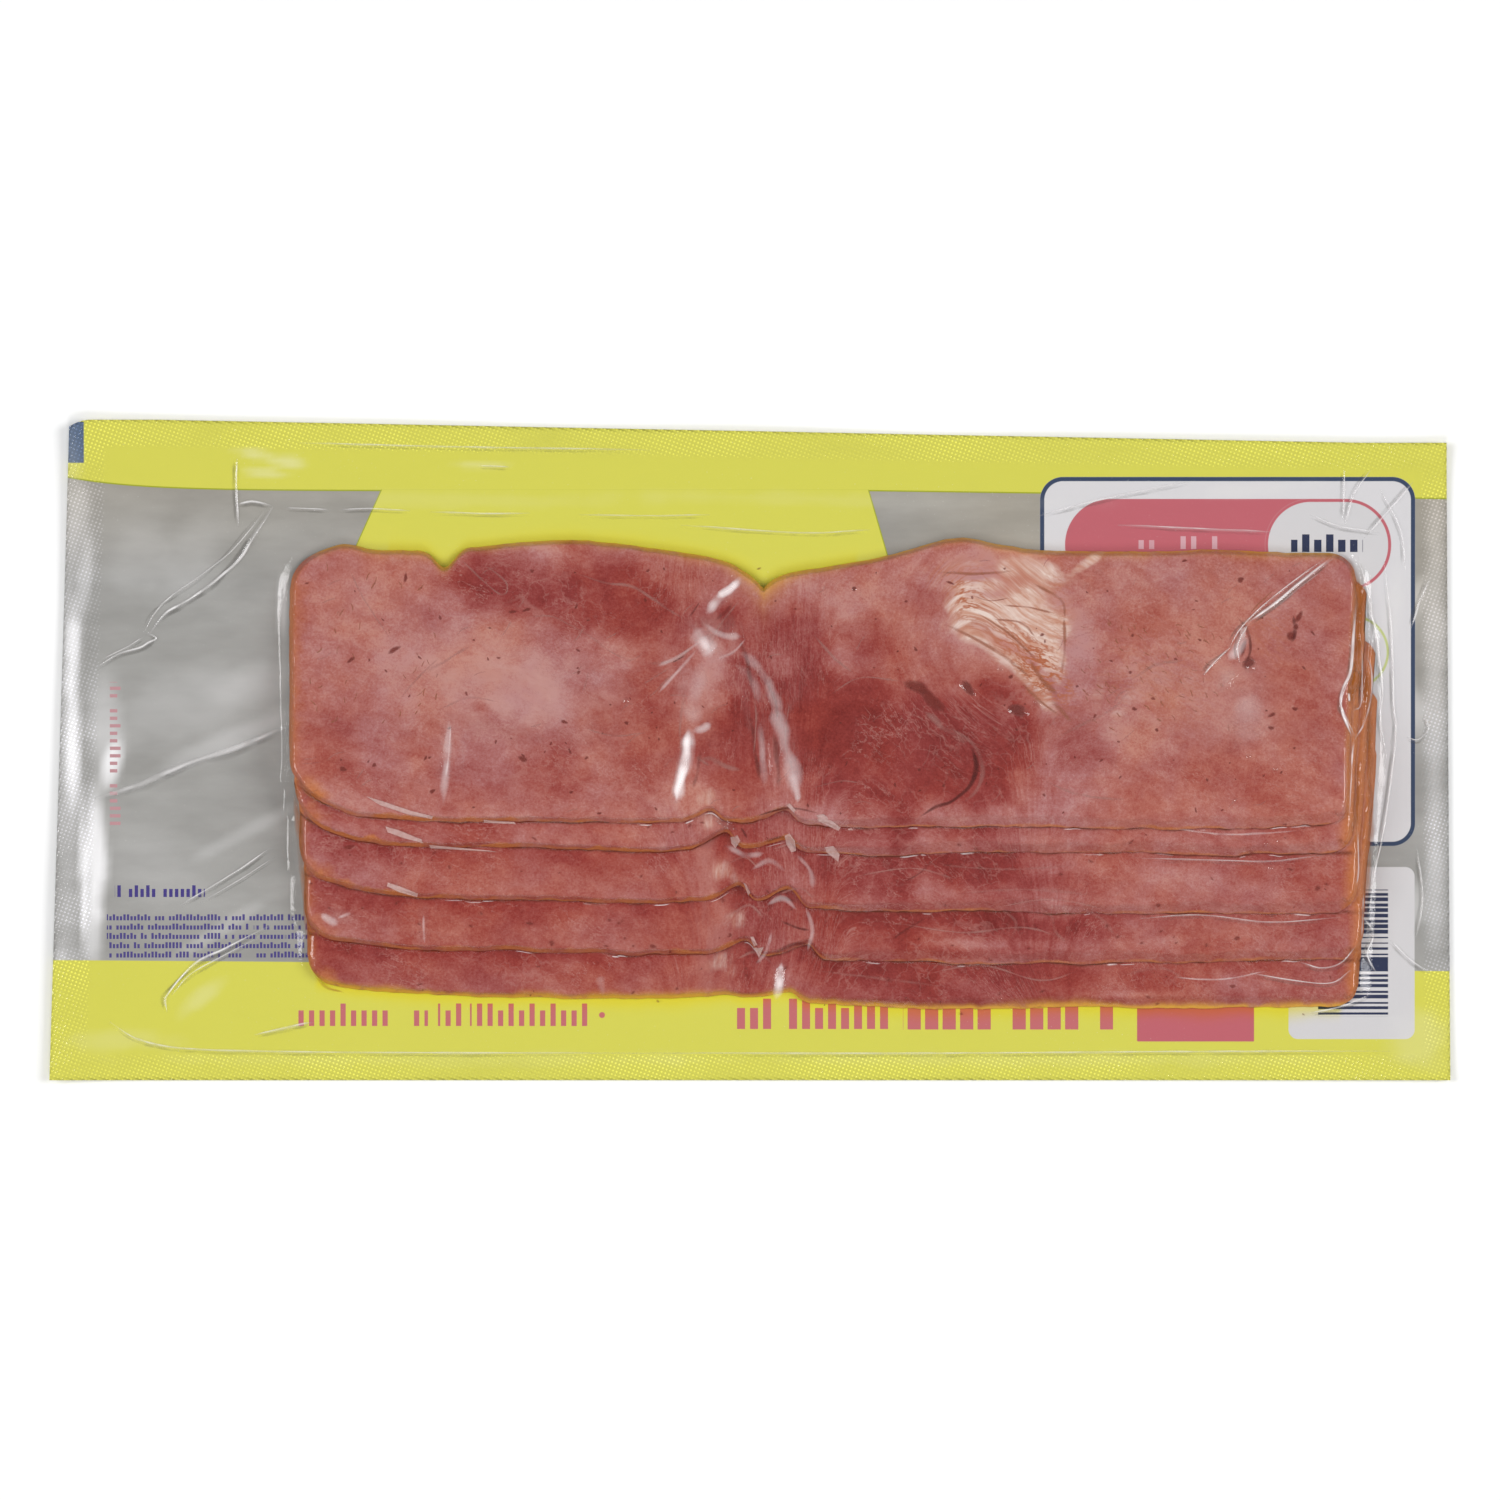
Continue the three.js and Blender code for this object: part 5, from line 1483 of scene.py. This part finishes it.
# Bubbles and pits of air under the film: x, y, half-length, half-width, turn.
BUBBLES = [
    (-24.7, 9.8, 0.7, 0.6, 0), (20.8, 32.2, 0.5, 0.4, 0), (49.9, 16.2, 0.6, 0.45, 0),
    (57.3, 9.4, 1.0, 0.55, -35), (43.3, 12.3, 2.2, 0.9, -42), (53.5, 7.8, 2.3, 1.2, -12),
    (99.3, -1.3, 0.6, 0.5, 0), (96.3, -10.1, 0.6, 0.45, 60), (104.6, -3.8, 0.7, 0.5, 0),
    (102.8, -18.8, 0.45, 0.4, 0), (105.4, -18.2, 0.5, 0.4, 0), (103.8, -23.6, 0.5, 0.45, 0),
    (99.8, 16.8, 1.3, 1.5, 20), (-93.0, 0.4, 1.0, 0.7, 60), (-92.6, -4.2, 0.9, 0.9, 0),
    (-92.0, -14, 1.4, 0.9, 80),
]


def make_bubbles(material):
    """Bubbles as low domes on the film: z = h (1 - r^2) on a polar grid."""
    points, faces, total = [], [], 0
    rings, turns = 7, 20
    angles = np.linspace(0, 2 * np.pi, turns, endpoint=False)
    r, a = np.meshgrid(np.linspace(0, 1, rings), angles, indexing="ij")
    for cx, cy, half_length, half_width, turn in BUBBLES:
        c, s = np.cos(np.radians(turn)), np.sin(np.radians(turn))
        u, v = half_length * r * np.cos(a), half_width * r * np.sin(a)
        x, y = cx + u * c - v * s, cy + u * s + v * c
        z = film_top(x, y) + 0.02 + 0.4 * half_width * (1 - r**2)
        points.append(np.stack([x, y, z], axis=-1).reshape(-1, 3))
        i, j = np.meshgrid(np.arange(rings - 1), np.arange(turns), indexing="ij")
        after, inner, outer = (j + 1) % turns, i * turns, (i + 1) * turns
        quads = np.stack([inner + j, outer + j, outer + after, inner + after], axis=-1)
        faces += (quads.reshape(-1, 4) + total).tolist()
        total += rings * turns
    values = {"weld": np.zeros(total), "haze": np.zeros(total)}
    piece = make_piece("air_bubbles", np.concatenate(points), faces, values)
    piece.data.materials.append(material)
    return piece


# Pale slivers of trapped air at the steps, as corner points.
SLIVERS = [
    [(13.2, -13.0), (14.6, -12.7), (18.1, -15.4), (17.6, -16.1), (13.6, -14.2)],
    [(19.4, -15.7), (20.2, -15.4), (20.6, -16), (19.6, -16)],
    [(14.9, -19.4), (16.6, -19.1), (17.9, -20.8), (17.6, -22.3), (15.2, -20.4)],
    [(7.2, -11), (7.9, -10.6), (9.2, -12), (8.7, -12.5)],
    [(-3.9, -17.4), (-2.5, -16.9), (-1.9, -18.1), (-2.9, -19.6), (-3.7, -18.7)],
    [(6.9, -17.1), (7.9, -16.6), (8.9, -18.1), (9.2, -20.1), (8.2, -20.4), (7.2, -18.7)],
    [(-1.3, -26.5), (-0.7, -26.8), (0.1, -28.5), (-0.4, -29)],
    [(0, -37.3), (0.7, -37.2), (1.5, -38.9), (0.8, -39.3)], [(0.8, -39.5), (2.8, -39.3), (1.8, -41.6)],
    [(97.8, 24.2), (99.2, 24.8), (98.8, 22.4), (97.6, 21.6)],
    [(-76.4, -9.2), (-73, -10.2), (-67, -12.2), (-63, -13.2), (-63.4, -13.8), (-68, -12.9), (-73.6, -11)],
    [(-72.6, -15.2), (-70, -15.9), (-65.4, -17.8), (-65.2, -18.6), (-69, -17.6), (-72.2, -16.4)],
    [(-72.2, -26.4), (-69.6, -27.2), (-66.2, -28.6), (-66.4, -29.4), (-70, -28.4), (-72.4, -27.2)],
    [(-53, -13.9), (-47, -14.3), (-46.6, -14.8), (-53, -14.5)],
    [(-64, -18.9), (-52, -20), (-50, -20.4), (-63.6, -19.6)],
]


def make_slivers(material):
    """Each sliver is a small plate with a raised rim: its corners, pulled in and lowered towards the
    middle."""
    points, faces, total = [], [], 0
    for corners in SLIVERS:
        outer = np.array(corners, dtype=float)
        middle = outer.mean(0)
        for pull, lift in ((1.0, 0.08), (0.86, 0.3), (0.7, 0.22), (0.0, 0.2)):
            ring = middle + (outer - middle) * pull if pull else middle[None]
            z = film_top(ring[:, 0], ring[:, 1]) + lift
            points.append(np.column_stack([ring, z]))
        n = len(corners)
        area = np.sum(outer[:, 0] * np.roll(outer[:, 1], -1) - np.roll(outer[:, 0], -1) * outer[:, 1])
        turn = 1 if area > 0 else -1
        for ring in range(2):
            for i in range(n):
                a, b = total + ring * n + i, total + ring * n + (i + 1) % n
                faces.append([a, b, b + n, a + n][::turn])
        for i in range(n):
            faces.append([total + 2 * n + i, total + 2 * n + (i + 1) % n, total + 3 * n][::turn])
        total += 3 * n + 1
    piece = make_piece("air_slivers", np.concatenate(points), faces, shade=False)
    piece.data.materials.append(material)
    return piece


def sliver_material():
    """Half see-through pale shine of trapped air."""
    material, tree = new_material("trapped_air")
    place = millimetres(tree)
    colour = over(tree, noise(tree, place, 1.5, 3), (0.62, 0.36, 0.32), (0.92, 0.76, 0.73))
    clear = tree.nodes.new("ShaderNodeBsdfTransparent")
    solid = principled(tree, colour, 0.2, None, Specular_IOR_Level=0.6)
    finish_material(tree, add(tree, "ShaderNodeMixShader", 0.5, clear.outputs[0], solid))
    return material


def plain_material(name, colour, roughness):
    """One colour with a faint unevenness."""
    material, tree = new_material(name)
    place = millimetres(tree)
    tone = tuple(0.985 * c for c in colour)
    finish_material(tree, principled(tree, over(tree, noise(tree, place, 0.05, 2), tone, colour), roughness))
    return material


# Pieces of the pack.
meat = meat_material("cured_pork")
film_finish = film_material()
backing = make_backing(print_material())
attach(backing, "root")
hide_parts("printed_film")
rashers = [make_rasher(k, meat) for k in range(LAST + 1)]
food_film = make_film(film_finish)
creases = make_creases(film_finish)
bubbles = make_bubbles(film_finish)
slivers = make_slivers(sliver_material())

# Fine marks: colour, roughness, strength and glow.
MARKS = {
    "sinew": ((0.58, 0.285, 0.25), 0.5, 0.42), "cut": ((0.15, 0.022, 0.018), 0.5, 0.85),
    "rust": ((0.46, 0.155, 0.08), 0.5, 0.62), "juice": ((0.50, 0.15, 0.03), 0.3, 0.9),
    # Pleat marks are painted highlights with a glow of their own.
    "pleat_glare": ((0.86, 0.76, 0.76), 0.3, 0.9, 0.3), "glint": ((0.86, 0.85, 0.85), 0.3, 0.8, 0.3),
    "shade": ((0.16, 0.155, 0.14), 0.5, 0.45), "pore": ((0.24, 0.036, 0.026), 0.5, 0.8),
}
finish = {name: soft_material(name, *look) for name, look in MARKS.items()}
hairs = seeded_hairs(31, 60, (-88, 116, -14, 38), 30, 4.5)
sinews = make_strips("pale_sinews", SINEWS, finish["sinew"], hairs)
cuts = make_strips("dark_cuts", CUTS, finish["cut"])
hairs = seeded_hairs(33, 70, (66, 96, 4, 26), -48, 2.0) + seeded_hairs(35, 40, (-88, -62, 2, 38), 80, 2.0)
streaks = make_strips("rust_streaks", RUST_STREAKS, finish["rust"], hairs)
juice = make_strips("orange_juice", JUICE, finish["juice"])
# Painted highlights: pale glowing strips on the film's pleats, and short glints under the steps.
pleat_glares = make_strips("film_pleat_glares", PLEAT_GLARES, finish["pleat_glare"], step_glints(), lift=0.04)
crease_glints = make_strips("crease_glints", crease_lines(0.1, 0.65, 0.9), finish["glint"], lift=0.3)
crease_shades = make_strips("crease_shades", crease_lines(-0.5, 1.2, 0.9), finish["shade"], lift=0.06)
pores = make_pores(finish["pore"])
contents = [*rashers, food_film, creases, crease_glints, crease_shades, bubbles, slivers]
contents += [sinews, cuts, streaks, juice, pleat_glares, pores]
for piece in contents:
    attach(piece, "root")
    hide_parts("filled_bag")

# Table, light and camera.
corners = np.array([(-1, -1, 0), (1, -1, 0), (1, 1, 0), (-1, 1, 0)]) * TABLE_HALF + (0, 0, TABLE)
table = make_piece("table", corners / MM, [[0, 1, 2, 3]], shade=False)
table.data.materials.append(plain_material("table_white", (0.93, 0.93, 0.93), 0.8))


def softbox(name, azimuth, tilt, distance, size, power):
    """Square light at an azimuth, tilted from the vertical, that faces the pack."""
    light = bpy.data.lights.new(name, "AREA")
    light.shape = "SQUARE"
    light.size = size
    light.energy = power
    lamp = bpy.data.objects.new(name, light)
    a, t = np.radians(azimuth), np.radians(tilt)
    lamp.location = (distance * np.sin(t) * np.cos(a), distance * np.sin(t) * np.sin(a), distance * np.cos(t))
    lamp.rotation_euler = (0, t, a)
    lamp.visible_camera = False
    lamp.visible_glossy = name != "light_front"
    bpy.context.collection.objects.link(lamp)


# Softboxes: name, azimuth, tilt, power and size.
LIGHT_DISTANCE = 1.5
LIGHTS = [
    ("light_left", 172, 43, 11.6, 0.75), ("light_right", 8, 43, 11.6, 0.75),
    ("light_front", -90, 38, 5.9, 0.45),
]
for name, azimuth, tilt, power, size in LIGHTS:
    softbox(name, azimuth, tilt, LIGHT_DISTANCE, size, power)

WORLD_STRENGTH = 0.23
scene = bpy.context.scene
world = bpy.data.worlds.new("studio")
world.use_nodes = True
background = world.node_tree.nodes["Background"]
background.inputs["Color"].default_value = (1, 1, 1, 1)
background.inputs["Strength"].default_value = WORLD_STRENGTH
scene.world = world
scene.view_settings.view_transform = "Standard"
scene.view_settings.look = "None"
scene.cycles.use_denoising = True
scene.cycles.transparent_max_bounces = 16

CAMERA_HEIGHT = 2.5
VIEW_WIDTH = 0.3
SENSOR = 36
camera_data = bpy.data.cameras.new("camera")
camera_data.sensor_width = SENSOR
camera_data.lens = SENSOR * CAMERA_HEIGHT / VIEW_WIDTH
camera = bpy.data.objects.new("camera", camera_data)
camera.location = (0, 0, CAMERA_HEIGHT)
bpy.context.collection.objects.link(camera)
scene.camera = camera
